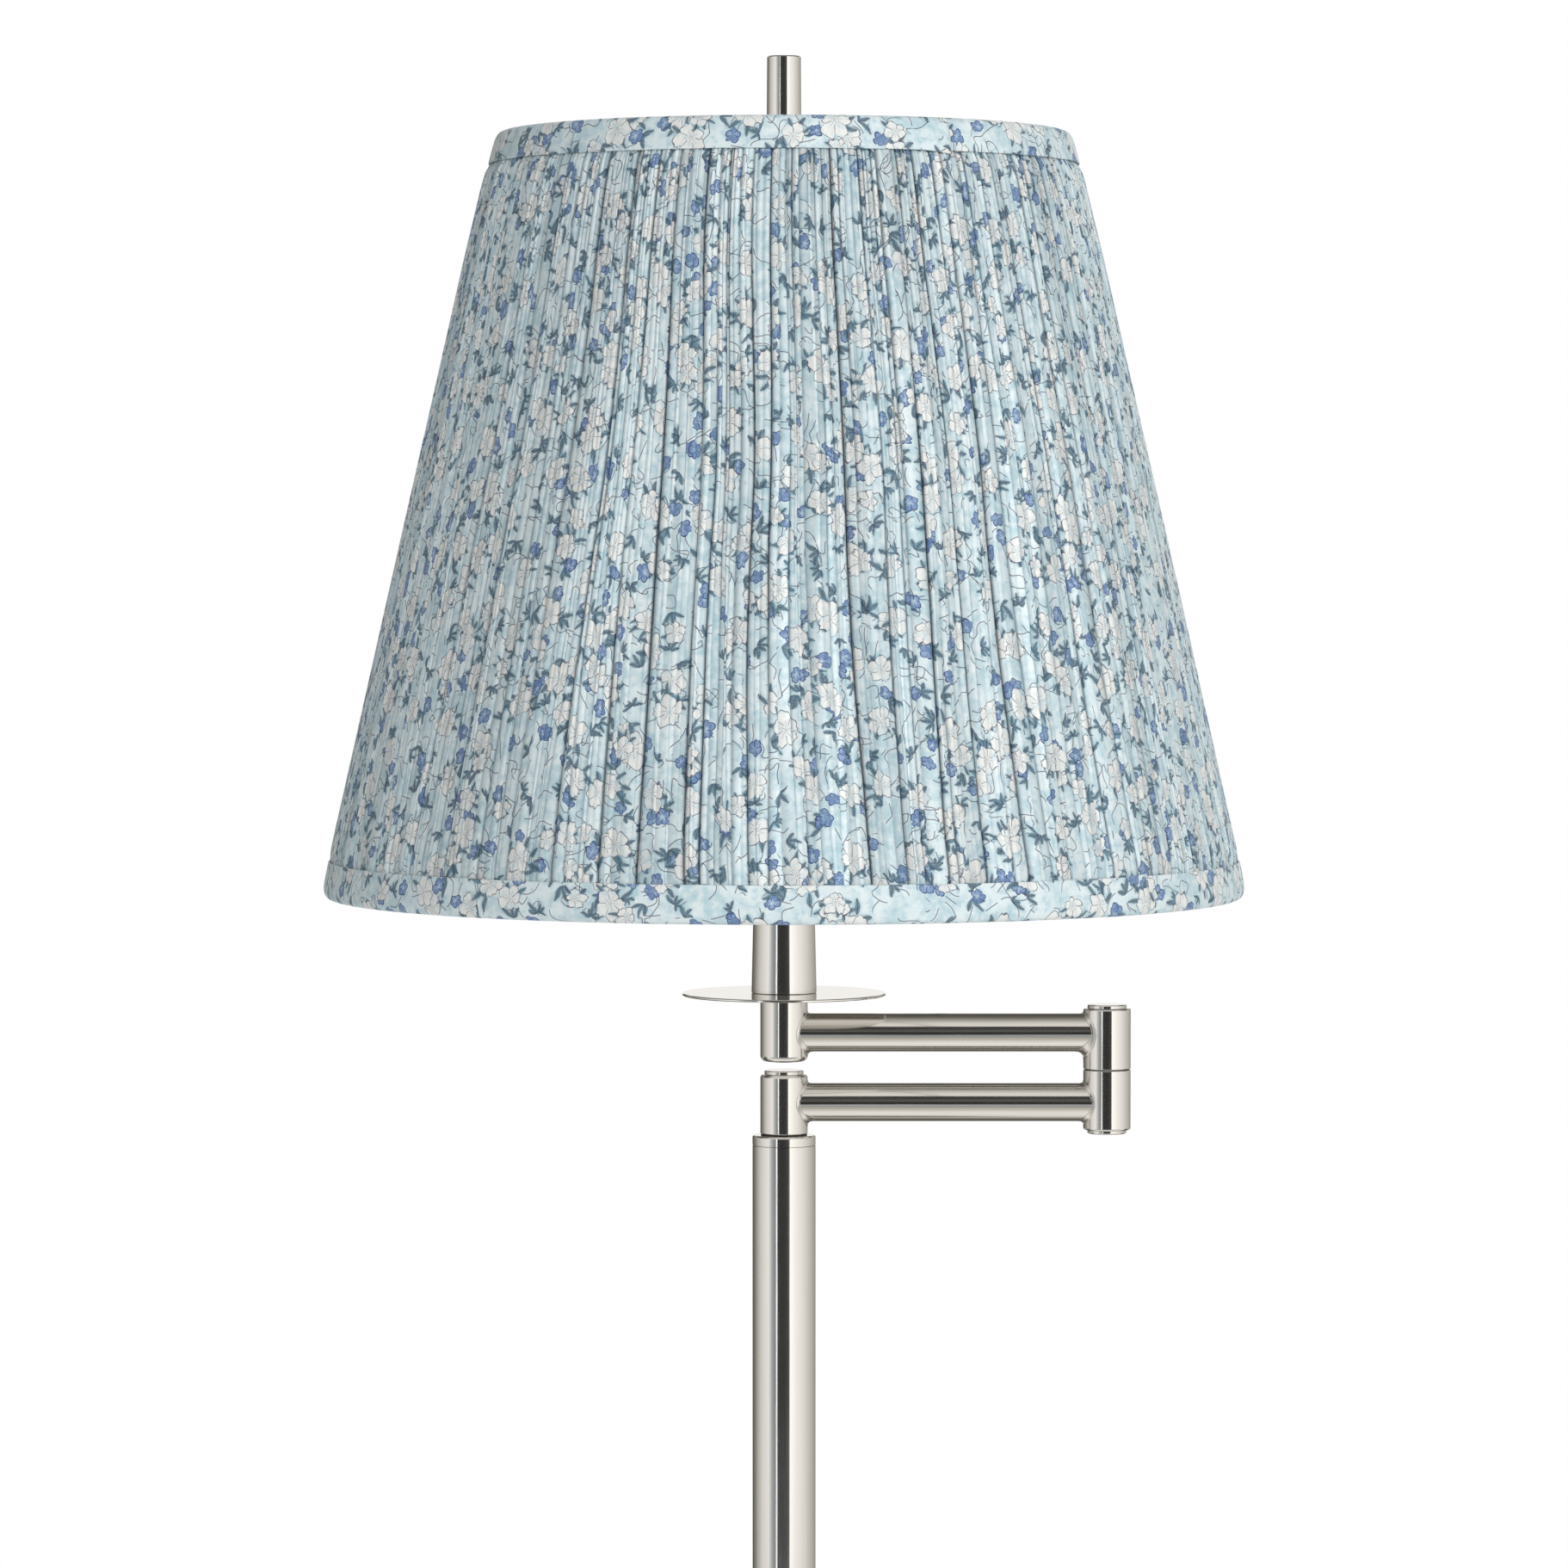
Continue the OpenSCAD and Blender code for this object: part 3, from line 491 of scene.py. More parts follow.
# ---- the printed cloth -----------------------------------------------------------------------
# A small all-over flower print in the cloth's own flat metres (UV map "Cloth"). Each layer
# scatters one motif in the squares of a turned grid, so that no motif is cut by its square.
def scatter(g, base, cell, turn, shift, jitter):
    """Local coordinates, in mm, about each square's own point, turned at random, and 3 randoms."""
    q = g.v("MULTIPLY_ADD", g.rot(base, turn), (1 / cell, 1 / cell, 1.0), (shift[0], shift[1], 0.0))
    ident = g.v("FLOOR", q)
    value, colour = g.white(ident)
    f = g.v("SUBTRACT", g.v("FRACTION", q), (0.5, 0.5, 0.0))
    j = jitter / cell
    f = g.v("SUBTRACT", f, g.v("MULTIPLY_ADD", colour, (2 * j, 2 * j, 0.0), (-j, -j, 0.0)))
    r1, r2, r3 = g.xyz(colour)
    f = g.rot(f, r3 * 6.2832)
    f = g.v("SCALE", f, scale=cell)
    x, y, _ = g.xyz(f)
    return x, y, value, r1, r3


def blossom(g, x, y, size, notch, wobble, seed, pen, lobe=0.5):
    """Five-petalled flower: (fill, lines, radius share, angle)."""
    r = g.m("SQRT", g.mad(x, x, y * y))
    a = g.m("ARCTAN2", y, x)
    c = g.abs(g.cos(a * 2.5))
    edge = g.mad(g.pow(c, lobe), notch, 1.0 - notch)
    edge = edge * g.mad(g.sin(a + seed * 11.0), 0.13, 0.95) * g.mad(g.sin(a * 2.0 + seed * 23.0), 0.08, 1.0)
    edge = g.mad(g.sin(a * 13.0 + g.sin(a * 3.0 + seed * 19.0) * 2.4), wobble, edge)
    big = edge * size
    d = r - big
    fill = g.ramp(d, 0.12, -0.10)
    outline = g.ramp(g.abs(d), pen, pen * 0.35)
    part = g.ramp(r * c, 0.62 * pen * 2.5, 0.22 * pen * 2.5) * g.gt(r, size * 0.24) * g.lt(d, 0.0)
    mid = g.abs(g.sin(a * 2.5)) * r
    vein = g.ramp(mid, 0.42 * pen * 2.5, 0.14 * pen * 2.5) * g.gt(r, size * 0.12) * g.lt(r, size * 0.46)
    return fill, g.max(outline, part), vein, r, a, d


def print_colour(g, uv):
    base = g.v("SCALE", uv, scale=1000.0)     # millimetres
    ink = srgb(86, 80, 98)
    navy, teal = srgb(40, 58, 84), srgb(108, 140, 157)
    water, water_c = g.noise(base, 1 / 15.0, 2.0, "2D", 0.6)
    fade = g.noise(g.v("ADD", base, (311.0, 97.0, 0.0)), 1 / 3.4, 2.0, "2D", 0.5)[0]
    warp = g.v("MULTIPLY_ADD", water_c, (5.0, 5.0, 0.0), (-2.5, -2.5, 0.0))
    warped = g.v("ADD", base, warp)
    col = g.mix(g.ramp(water, 0.34, 0.62), srgb(196, 218, 224), srgb(222, 235, 238))
    col = g.mix(g.ramp(fade, 0.50, 0.72) * 0.6, col, srgb(233, 240, 240))
    col = g.mix(g.ramp(fade, 0.46, 0.28) * 0.45, col, srgb(163, 198, 211))

    drawn = g.ramp(fade, 0.34, 0.47)          # where the pen pressed
    faint = g.mad(drawn, 0.62, 0.38)

    # thin stems that curl about and break off
    def stems(col, size, shift, turn, share):
        s = g.rot(g.v("ADD", base, shift), turn)
        n, nx, ny = (g.noise(g.v("ADD", s, d) if d else s, 1 / size, 0.0, "2D", 0.4, 0.5)[0]
                     for d in (None, (0.25, 0.0, 0.0), (0.0, 0.25, 0.0)))
        rise = g.m("SQRT", g.mad(nx - n, nx - n, g.mad(ny - n, ny - n, 0.0000001))) * 4.0
        line = g.ramp(g.m("DIVIDE", g.abs(n - 0.5), rise), 0.27, 0.12) * g.gt(rise, 0.006)
        patch = g.ramp(g.noise(s, 1 / 10.0, 0.0, "2D")[0], share, share + 0.03)
        return g.mix(line * patch * 0.85, col, ink)

    col = stems(col, 14.0, (53.0, 11.0, 0.0), 0.3, 0.47)
    col = stems(col, 10.5, (7.0, 231.0, 0.0), 1.1, 0.53)

    # tufts of feathered leaves
    def tuft(col, x, y, seed, start, length, width, sector, spread, on, dense=0.84):
        """Leaves that fan out about the +x axis."""
        r = g.m("SQRT", g.mad(x, x, y * y))
        a = g.m("ARCTAN2", y, x)
        k = g.floor(g.mad(a, 1 / sector, 0.5))
        rnd = g.white(g.vec(g.mad(k, 3.17, seed * 57.0), g.mad(seed, 31.0, k)))[0]
        a = a - k * sector
        along = r * g.cos(a) - start
        ln = g.mad(rnd, 0.62 * length, 0.55 * length)
        t = g.m("DIVIDE", along, ln, clamp=True)
        across = g.abs(g.mad(t * t, (rnd - 0.5) * (0.5 * length), r * g.sin(a)))
        half = g.pow(t * (1 - t) * 4.0, 0.62) * g.mad(t, -0.45 * width, 1.15 * width)
        comb = g.mad(g.sin((along - across * 1.5) * (6.2832 / 1.15)), 0.5, 0.5)
        half = half * g.mad(comb, 0.26, 0.80)
        here = on * g.lt(g.abs(k), spread) * g.gt(along, 0.0) * g.lt(along, ln)
        d = across - half
        stain = g.ramp(d, 1.9, -0.5) * here * 0.42
        col = g.mix(stain, col, srgb(138, 172, 181))
        body = g.ramp(d, 0.24, -0.22) * here
        rib = g.ramp(across, 0.28, 0.08)
        leaf = g.mix(g.max(comb * g.ramp(fade, 0.30, 0.55, 0.35, 1.0), rib), teal, navy)
        return g.mix(body * dense, col, leaf)

    def leaves(col, cell, turn, shift, length, width, share, sector, spread):
        x, y, v, r1, r3 = scatter(g, warped, cell, turn, shift, cell / 2 - length - 0.8)
        return tuft(col, x, y, r1, 0.3, length, width, sector, spread, g.lt(v, share))

    col = leaves(col, 17.5, 0.62, (0.15, 0.55), 5.2, 0.98, 0.66, 0.72, 2.5)
    col = leaves(col, 19.0, 1.32, (0.5, 0.2), 6.3, 1.22, 0.74, 0.80, 1.5)

    # small blue flowers
    def blues(col, cell, turn, shift, size, share):
        x, y, v, r1, r3 = scatter(g, warped, cell, turn, shift, cell / 2 - size - 0.4)
        fill, line, vein, r, a, d = blossom(g, x, y, size, 0.32, 0.02, r1, 0.34, 0.6)
        on = g.lt(v, share)
        body = g.mix(g.ramp(r, size * 0.18, size * 0.60), srgb(182, 205, 226), srgb(128, 154, 194))
        body = g.mix(g.ramp(fade, 0.58, 0.40) * 0.80, body, srgb(92, 120, 170))
        col = g.mix(fill * on * 0.88, col, body)
        return g.mix(g.max(line * faint, vein * 0.4) * on, col, srgb(62, 80, 126))

    col = blues(col, 16.0, 0.48, (0.66, 0.33), 3.2, 0.36)
    col = blues(col, 20.0, 1.2, (0.1, 0.45), 3.7, 0.40)

    # cream flowers with a broken pen outline, each with leaves behind it
    def creams(col, cell, turn, shift, size, share):
        x, y, v, r1, r3 = scatter(g, warped, cell, turn, shift, cell / 2 - size * 1.45)
        on = g.lt(v, share)
        col = tuft(col, x, y, r1, size * 0.62, size * 0.95, 0.18 * size, 0.74, 1.5, on)
        xo = g.mad(r3 - 0.5, 0.30 * size, x)
        yo = y * g.mad(r1, 0.30, 0.92)
        fill, line, vein, r, a, d = blossom(g, xo, yo, size, 0.36, 0.045, r1, 0.33, 0.55)
        body = g.mix(g.ramp(r, size * 0.10, size * 0.85), srgb(228, 231, 229), srgb(242, 241, 236))
        body = g.mix(g.ramp(fade, 0.46, 0.32) * 0.7, body, srgb(214, 228, 232))
        edge = g.ramp(d, -1.8, 0.0) * g.ramp(fade, 0.62, 0.44)
        body = g.mix(edge * 0.6, body, srgb(212, 227, 232))
        col = g.mix(fill * on * 0.90, col, body)
        eye = g.ramp(r, size * 0.16, size * 0.05) * g.mad(g.sin(a * 9.0), 0.5, 0.5)
        pen = g.max(g.max(line * faint, vein * 0.6), eye * 0.6) * on
        return g.mix(pen * 0.82, col, ink)

    col = creams(col, 23.5, 0.15, (0.37, 0.12), 6.1, 0.62)
    col = creams(col, 28.0, 0.95, (0.72, 0.4), 7.2, 0.62)
    col = creams(col, 19.0, 2.1, (0.22, 0.81), 4.7, 0.22)
    return col, base


def cloth_material(name, folds, shade_scale=1.0):
    mat, g, b = new_material(name)
    uv = g.node("ShaderNodeUVMap", uv_map="Cloth")
    col, base = print_colour(g, V(g, uv.outputs[0]))
    x, y, _ = g.xyz(base)
    # thread by thread unevenness, along the warp and across it
    slub = g.noise(g.vec(x * 1.6, y * 0.10), 1.0, 2.0, "2D")[0]
    slub2 = g.noise(g.vec(x * 0.10, y * 1.6), 1.0, 2.0, "2D")[0]
    tone = g.mad(slub - 0.5, 0.11, g.mad(slub2 - 0.5, 0.06, 1.0))
    # the pleated cover alone gets painted shade in its grooves and painted highlight on its crests
    if folds:
        at = g.node("ShaderNodeAttribute", attribute_name="painted_groove_shade")
        painted_groove_shade = V(g, at.outputs["Fac"])
        # painted shade: one side of some grooves darkened toward the print's blue, in stretches
        painted_side_shade = V(g, g.node("ShaderNodeAttribute", attribute_name="painted_side_shade").outputs["Fac"])
        col = g.mix(painted_side_shade * 0.66, col, srgb(82, 124, 142))
        # painted shade: the grooves darkened toward navy
        col = g.mix(g.m("MULTIPLY", g.pow(painted_groove_shade, 1.10), 0.94, clamp=True), col, srgb(14, 36, 60))
        # painted highlight on the crests, and painted light and shade from fold to fold
        crest = V(g, g.node("ShaderNodeAttribute", attribute_name="crest").outputs["Fac"])
        tone = tone * g.ramp(crest, 0.0, 1.0, 0.80, 1.16, False)
    col = g.mul(col, tone * shade_scale)
    g.put(b.inputs["Base Color"], col)
    b.inputs["Roughness"].default_value = 0.62
    b.inputs["Specular IOR Level"].default_value = 0.28
    b.inputs["Sheen Weight"].default_value = 0.18
    b.inputs["Sheen Roughness"].default_value = 0.35
    weave = g.max(g.sin(x * (6.2832 / 0.42)), g.sin(y * (6.2832 / 0.42)))
    bump(g, b, g.mad(weave, 0.25, slub + slub2), 0.00006, 0.5)
    return mat


cloth = cloth_material("print_cloth", True)
band_cloth = cloth_material("print_band", False)


def lining_material():
    mat, g, b = new_material("lining")
    uv = g.node("ShaderNodeUVMap", uv_map="Cloth")
    x, y, _ = g.xyz(g.v("SCALE", V(g, uv.outputs[0]), scale=1000.0))
    slub = g.noise(g.vec(x * 1.4, y * 0.12), 1.0, 2.0, "2D")[0]
    slub2 = g.noise(g.vec(x * 0.12, y * 1.4), 1.0, 2.0, "2D")[0]
    tone = g.mad(slub - 0.5, 0.10, g.mad(slub2 - 0.5, 0.10, 1.0))
    g.put(b.inputs["Base Color"], g.mul(g.mix(slub, (0.80, 0.785, 0.745), (0.86, 0.85, 0.82)), tone))
    b.inputs["Roughness"].default_value = 0.75
    b.inputs["Specular IOR Level"].default_value = 0.25
    b.inputs["Sheen Weight"].default_value = 0.15
    weave = g.max(g.sin(x * (6.2832 / 0.5)), g.sin(y * (6.2832 / 0.5)))
    bump(g, b, g.mad(weave, 0.3, slub + slub2), 0.00006, 0.5)
    return mat


lining = lining_material()

SLOT_MATERIAL = {
    "nickel": nickel_z, "steel": steel, "iron": iron, "felt": felt, "bushing": bushing,
    "nylon": nylon, "brass": brass, "phenolic": phenolic, "knob": knob, "paper": paper,
    "bulb_glass": bulb, "bulb_cap": alu, "frame_wire": wire, "print_cloth": cloth,
    "print_band": band_cloth, "lining": lining}
NODE_MATERIAL = {
    "upper_arm_tube": nickel_x, "lower_arm_tube": nickel_x, "drip_disc": nickel_turn,
    "lower_knuckle_cap": nickel_turn, "elbow_top_cap": nickel_elbow, "elbow_bottom_cap": nickel_elbow,
    "base_cover": nickel_base, "pole_foot_ring": nickel_base, "pole_lower": nickel_pole,
    "pole_upper": nickel_pole, "harp_wire": nickel_wire, "harp_saddle": nickel_wire}
for part in frame["record"]["subparts"]:
    o = NODES[part["node"]]
    mat = NODE_MATERIAL.get(part["node"], SLOT_MATERIAL[part["material_slot"]])
    if not o.material_slots:
        o.data.materials.append(mat)
    for s in o.material_slots:
        s.material = mat


# ---------------------------------------------------------------------------------------------
# Shade
# ---------------------------------------------------------------------------------------------
R_BOT, R_TOP, Z_BOT, Z_TOP = 202.4, 125.3, 1131.8, 1466.3
SLOPE = (R_TOP - R_BOT) / (Z_TOP - Z_BOT)
TILT = math.atan(-SLOPE)
CB, SB = math.cos(TILT), math.sin(TILT)


def cone_r(z):
    return R_BOT + SLOPE * (z - Z_BOT)


def link(name, me, mats, smooth=True):
    o = bpy.data.objects.new(name, me)
    SCENE.collection.objects.link(o)
    for m in mats:
        me.materials.append(m)
    if smooth:
        me.polygons.foreach_set("use_smooth", [True] * len(me.polygons))
    return o


def value_noise(seed):
    """Smooth 2-D noise from -1 to 1, on arrays."""
    rng = random.Random(seed)
    n = 256
    table = np.array([rng.uniform(-1, 1) for _ in range(n * 8)]).reshape(8, n)

    def f(x, y):
        x, y = np.broadcast_arrays(np.asarray(x, float), np.asarray(y, float))
        xi, yi = np.floor(x).astype(int), np.floor(y).astype(int)
        fx, fy = x - xi, y - yi
        fx, fy = fx * fx * (3 - 2 * fx), fy * fy * (3 - 2 * fy)
        a, b = table[yi % 8, xi % n], table[yi % 8, (xi + 1) % n]
        c, d = table[(yi + 1) % 8, xi % n], table[(yi + 1) % 8, (xi + 1) % n]
        return (a * (1 - fx) + b * fx) * (1 - fy) + (c * (1 - fx) + d * fx) * fy

    return f


# Height of the pleats' crests above the frame's straight line, in mm, from the bottom to the top
CREST_Z = [1134.0, 1139.0, 1143.5, 1146.6, 1148.4, 1153.0, 1185.0, 1260.0, 1336.0, 1411.0, 1440.0, 1447.7,
           1450.8, 1452.8, 1456.5, 1463.4]
CREST_N = [-1.10, -0.55, -0.10, 0.38, 0.80, 1.35, 1.45, 1.80, 1.90, 2.15, 1.80, 1.50, 0.85, 0.10, -0.35, -0.90]

MICRO, PER = 215, 7          # small folds in each half of the cover, and points across each
ROWS = 60


def cover_half(name, start, seed):
    """Half of the gathered cover: one width of cloth, from seam to seam."""
    rng = random.Random(seed)
    rng2 = random.Random(seed + 1000)
    width = np.array([math.exp(rng.gauss(0.0, 0.33)) for _ in range(MICRO)])
    width = np.clip(width, 0.45, 2.1)
    width *= math.pi / width.sum()
    kind = np.zeros(MICRO + 1, int)
    i = 0
    while i <= MICRO:
        kind[i] = 2
        i += rng.choice([3, 4, 5, 6, 7, 8, 9, 11])
    kind[MICRO] = 2
    for i in range(1, MICRO):
        if kind[i] == 0 and kind[i - 1] != 2 and kind[i + 1] != 2 and rng.random() < 0.42:
            kind[i] = 1
    n_w, n_d, n_c, n_m = (value_noise(seed * 10 + k) for k in range(4))

    # heights of the rows, closer together under the bands
    t = np.linspace(0, 1, ROWS)
    t = t - 0.055 * np.sin(2 * math.pi * t)
    z = 1134.2 + (1463.2 - 1134.2) * t
    R = cone_r(z)
    g_at = np.concatenate([[0], np.cumsum(width)])
    ends = np.clip(np.minimum(np.arange(MICRO + 1), np.arange(MICRO, -1, -1)) / 6.0, 0, 1)
    gi = np.arange(MICRO + 1)[:, None]
    tt = t[None, :]
    mean = math.pi / MICRO
    wander = mean * (1.5 * n_w(gi * 0.045, 1.3 * tt) + 0.8 * n_w(gi * 0.21 + 40, 2.2 * tt + 3)
                     + 0.30 * n_w(gi * 1.0 + 90, 3.4 * tt + 5))
    groove = g_at[:, None] + wander * ends[:, None]
    gap = np.maximum(np.diff(groove, axis=0), 0.30 * mean)
    groove = np.concatenate([np.zeros((1, ROWS)), np.cumsum(gap, axis=0)])
    groove *= math.pi / groove[-1]

    # how deep each groove is at each height, in mm
    high = np.clip((t - 0.35) / 0.65, 0, 1)[None, :] ** 1.5
    low_end = np.clip(1 - t / 0.12, 0, 1)[None, :]
    depth = np.zeros((MICRO + 1, ROWS))
    reach = np.zeros((MICRO + 1, 1))
    for i in range(MICRO + 1):
        m = np.clip(0.66 + 0.85 * n_d(i * 3.7, 2.6 * t + i * 0.37), 0.06, 1.20)
        if kind[i] == 2:
            d, up, reach[i] = rng.uniform(1.0, 2.9), 0.45, rng.uniform(0.36, 0.70)
            m = np.clip(m + 0.12, 0.15, 1.20)
        elif kind[i] == 1:
            d, up, reach[i] = rng.uniform(0.45, 1.15), 1.20, rng.uniform(0.40, 0.75)
        else:
            d, up, reach[i] = 0.08 + 0.50 * rng.random() ** 2, 0.45, rng.uniform(0.40, 0.80)
        depth[i] = d * m + up * high[0] * rng.uniform(0.6, 1.2) + 0.25 * low_end[0] * rng.random()
    under = np.clip((z - 1448.5) / 6.0, 0, 1) + np.clip((1150.0 - z) / 5.0, 0, 1)
    depth = np.minimum(depth, 3.0 - 1.4 * np.clip(under, 0, 1)[None, :])

    # columns: each groove, then points across the fold after it
    share = np.array([0.0, 0.085, 0.21, 0.40, 0.60, 0.79, 0.915])
    cols = MICRO * PER + 1
    ang = np.zeros((cols, ROWS))
    for k, s in enumerate(share):
        ang[k:MICRO * PER:PER] = groove[:-1] + gap_share(groove, s)
    ang[-1] = groove[-1]
    arc = ang * R[None, :]
    off = np.zeros((cols, ROWS))
    # painted shade: how far each point of the cloth is darkened in and beside the grooves
    painted_groove_shade = np.zeros((cols, ROWS))
    for i in range(MICRO + 1):
        c = i * PER
        span = 30 if kind[i] == 2 else 12
        lo, hi = max(0, c - span), min(cols, c + span + 1)
        dist = np.abs(arc[lo:hi] - arc[c][None, :])
        k = np.exp(-dist / reach[i])
        if kind[i] == 2:
            k = 0.87 * k + 0.13 * np.exp(-(dist / 2.4) ** 1.5)
            painted_groove_shade[lo:hi] = np.maximum(painted_groove_shade[lo:hi], np.clip(depth[i] / 2.2, 0, 1)[None, :] * (0.90 * np.exp(-dist / (reach[i] * 0.70)) + 0.12 * np.exp(-dist / 2.0)))
        else:
            w = 0.60 if kind[i] == 1 else 0.52
            painted_groove_shade[lo:hi] = np.maximum(painted_groove_shade[lo:hi], w * np.clip(depth[i] / 1.5, 0, 1.1)[None, :] * np.exp(-dist / (reach[i] * 0.6)))
        off[lo:hi] -= depth[i][None, :] * k
    # rounded backs of the folds, some standing prouder than others
    back = np.zeros((cols, ROWS))
    each = np.arange(MICRO)[:, None] * 1.0
    proud = 0.15 + 0.12 * n_c(each, 2.4 * tt)
    lean = n_c(each * 1.7 + 31, 1.9 * tt + 4) * (0.24 + 0.34 * high)      # folds that lie to one side
    # painted light and shade: each fold a little lighter or darker along its length, as if it met the light at its
    # own angle
    painted_fold_light = np.zeros((cols, ROWS))
    light = n_m(each * 1.0 + 77, 3.1 * tt + 2)
    for k, s in enumerate(share):
        back[k:MICRO * PER:PER] = proud * 4 * s * (1 - s) + (lean * (2 * s - 1) if k else 0.0)
        painted_fold_light[k:MICRO * PER:PER] = light
    # painted shade: one side of some grooves darkened toward the print's blue, in stretches
    painted_side_shade = np.zeros((cols, ROWS))
    for i in range(1, MICRO):
        some = rng2.random()
        side, amp = rng2.random() < 0.5, rng2.uniform(0.45, 1.0)
        if kind[i] == 0:
            if some > 0.25:
                continue
            amp *= 0.7
        m = amp * np.clip(0.40 + 1.5 * n_c(i * 4.3 + 200, 3.2 * t + i * 0.61), 0, 1)
        painted_side_shade[i * PER] = np.maximum(painted_side_shade[i * PER], m)
        for k, s in enumerate(share):
            c = i * PER + k if side else (i - 1) * PER + k
            painted_side_shade[c] = np.maximum(painted_side_shade[c], m * ((1 - s) if side else s) ** 1.2)
    roll = 0.22 * n_m(np.arange(cols)[:, None] / PER * 0.33, 2.0 * tt)
    crest = np.interp(z, CREST_Z, CREST_N)[None, :]
    ease = 1 - np.clip(under, 0, 1)[None, :]
    nrm = crest + off + (back + roll) * ease
    nrm = np.maximum(nrm, -1.9)

    th = start + ang
    rr = R[None, :] + nrm * CB
    X, Y, Z = rr * np.cos(th), rr * np.sin(th), z[None, :] + nrm * SB
    co = np.stack([X, Y, Z], axis=2) * MM

    # the cloth's own coordinates: what lies on each fold is as long as the fold, and what is
    # hidden in each groove is skipped
    step = np.sqrt(np.diff(X, axis=0) ** 2 + np.diff(Y, axis=0) ** 2)
    run = np.concatenate([np.zeros((1, ROWS)), np.cumsum(step, axis=0)])
    visible = run[PER::PER] - run[:-1:PER]              # (MICRO, ROWS)
    widest = visible[:, 2:12].mean(axis=1)
    hidden = np.array([{0: rng.uniform(0.12, 0.4), 1: rng.uniform(0.5, 1.2),
                        2: rng.uniform(1.5, 3.6)}[kind[i]] for i in range(MICRO)])
    left = np.concatenate([[0], np.cumsum(widest + hidden)])[:-1] + hidden
    middle = left + widest / 2
    cut = float(left[-1] + widest[-1])
    fold_mid = (run[PER::PER] + run[:-1:PER]) / 2
    u0 = np.zeros((cols - 1, ROWS))                     # at the column that begins each face
    u1 = np.zeros((cols - 1, ROWS))
    for k in range(PER):
        u0[k::PER] = middle[:, None] + run[k:MICRO * PER:PER] - fold_mid
        u1[k::PER] = middle[:, None] + run[k + 1::PER][:MICRO] - fold_mid
    slant = np.concatenate([[0], np.cumsum(np.hypot(np.diff(z), np.diff(R)))])
    # gathering pulls the cloth up or down a little from fold to fold
    pull, at = np.zeros(MICRO), 0.0
    for i in range(MICRO):
        k = {0: 0.35, 1: 1.8, 2: 3.4}[kind[i]]
        at = 0.45 * at + rng2.uniform(-k, k) if kind[i] == 2 else at + rng2.uniform(-k, k)
        at = max(-4.5, min(4.5, at))
        pull[i] = at
    pull = np.repeat(pull, PER)

    idx = np.arange(cols * ROWS).reshape(cols, ROWS)
    a, b = idx[:-1, :-1], idx[1:, :-1]
    d, c = idx[:-1, 1:], idx[1:, 1:]
    faces = np.stack([a, b, c, d], axis=2).reshape(-1, 4)
    me = bpy.data.meshes.new(name)
    me.vertices.add(cols * ROWS)
    me.vertices.foreach_set("co", co.reshape(-1).astype(np.float32))
    nf = len(faces)
    me.loops.add(nf * 4)
    me.loops.foreach_set("vertex_index", faces.reshape(-1).astype(np.int32))
    me.polygons.add(nf)
    me.polygons.foreach_set("loop_start", np.arange(0, nf * 4, 4, dtype=np.int32))
    me.update(calc_edges=True)

    # maps: the cloth's metres, and a bake map of two strips
    U = np.stack([u0[:, :-1], u1[:, :-1], u1[:, 1:], u0[:, 1:]], axis=2)
    s4 = np.stack([slant[:-1], slant[:-1], slant[1:], slant[1:]], axis=1)[None, :, :].repeat(cols - 1, axis=0)
    uv = np.stack([U, s4 + pull[:, None, None]], axis=3).reshape(-1) * MM
    me.uv_layers.new(name="Cloth").data.foreach_set("uv", uv.astype(np.float32))
    place = run.mean(axis=1)
    cut_col = (MICRO // 2) * PER
    half = np.arange(cols - 1) >= cut_col
    lo = np.where(half, place[cut_col], 0.0)
    ln = np.where(half, place[-1] - place[cut_col], place[cut_col])
    pad = 0.006
    bu0 = pad + (1 - 2 * pad) * (place[:-1] - lo) / ln
    bu1 = pad + (1 - 2 * pad) * (place[1:] - lo) / ln
    v01 = slant / slant[-1]
    v_lo = np.where(half, 0.5 + pad / 2, pad)[:, None]
    v_sc = 0.5 - 1.5 * pad
    bv0 = v_lo + v_sc * v01[None, :-1]
    bv1 = v_lo + v_sc * v01[None, 1:]
    BU = np.stack([bu0, bu1, bu1, bu0], axis=1)[:, None, :].repeat(ROWS - 1, axis=1)
    BV = np.stack([bv0, bv0, bv1, bv1], axis=2)
    me.uv_layers.new(name="OFBake").data.foreach_set("uv", np.stack([BU, BV], axis=3).reshape(-1).astype(np.float32))
    # painted shade in the grooves, for the cloth's colour
    me.attributes.new("painted_groove_shade", "FLOAT", "POINT").data.foreach_set(
        "value", np.clip(painted_groove_shade, 0, 1).reshape(-1).astype(np.float32))
    # painted highlight on the crests of the folds, with the painted fold-to-fold light, and none in the grooves
    top = np.clip((back + roll + 0.16) / 0.60 + 0.34 * painted_fold_light, 0, 1) * (1 - np.clip(painted_groove_shade * 1.5, 0, 1))
    me.attributes.new("crest", "FLOAT", "POINT").data.foreach_set("value", top.reshape(-1).astype(np.float32))
    # painted shade on one side of some grooves
    me.attributes.new("painted_side_shade", "FLOAT", "POINT").data.foreach_set("value", painted_side_shade.reshape(-1).astype(np.float32))
    o = link(name, me, [cloth])
    return o, cut * MM, slant[-1] * MM


def gap_share(groove, s):
    return (groove[1:] - groove[:-1]) * s


front, cut_f, slant_f = cover_half("cover_front", math.pi, 41)
back_, cut_b, slant_b = cover_half("cover_back", 0.0, 57)
for o, cut, slant in ((front, cut_f, slant_f), (back_, cut_b, slant_b)):
    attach(o, "upper_arm")
    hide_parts("shade_cover")
    o.visible_glossy = False             # the metal mirrors the studio, not the shade


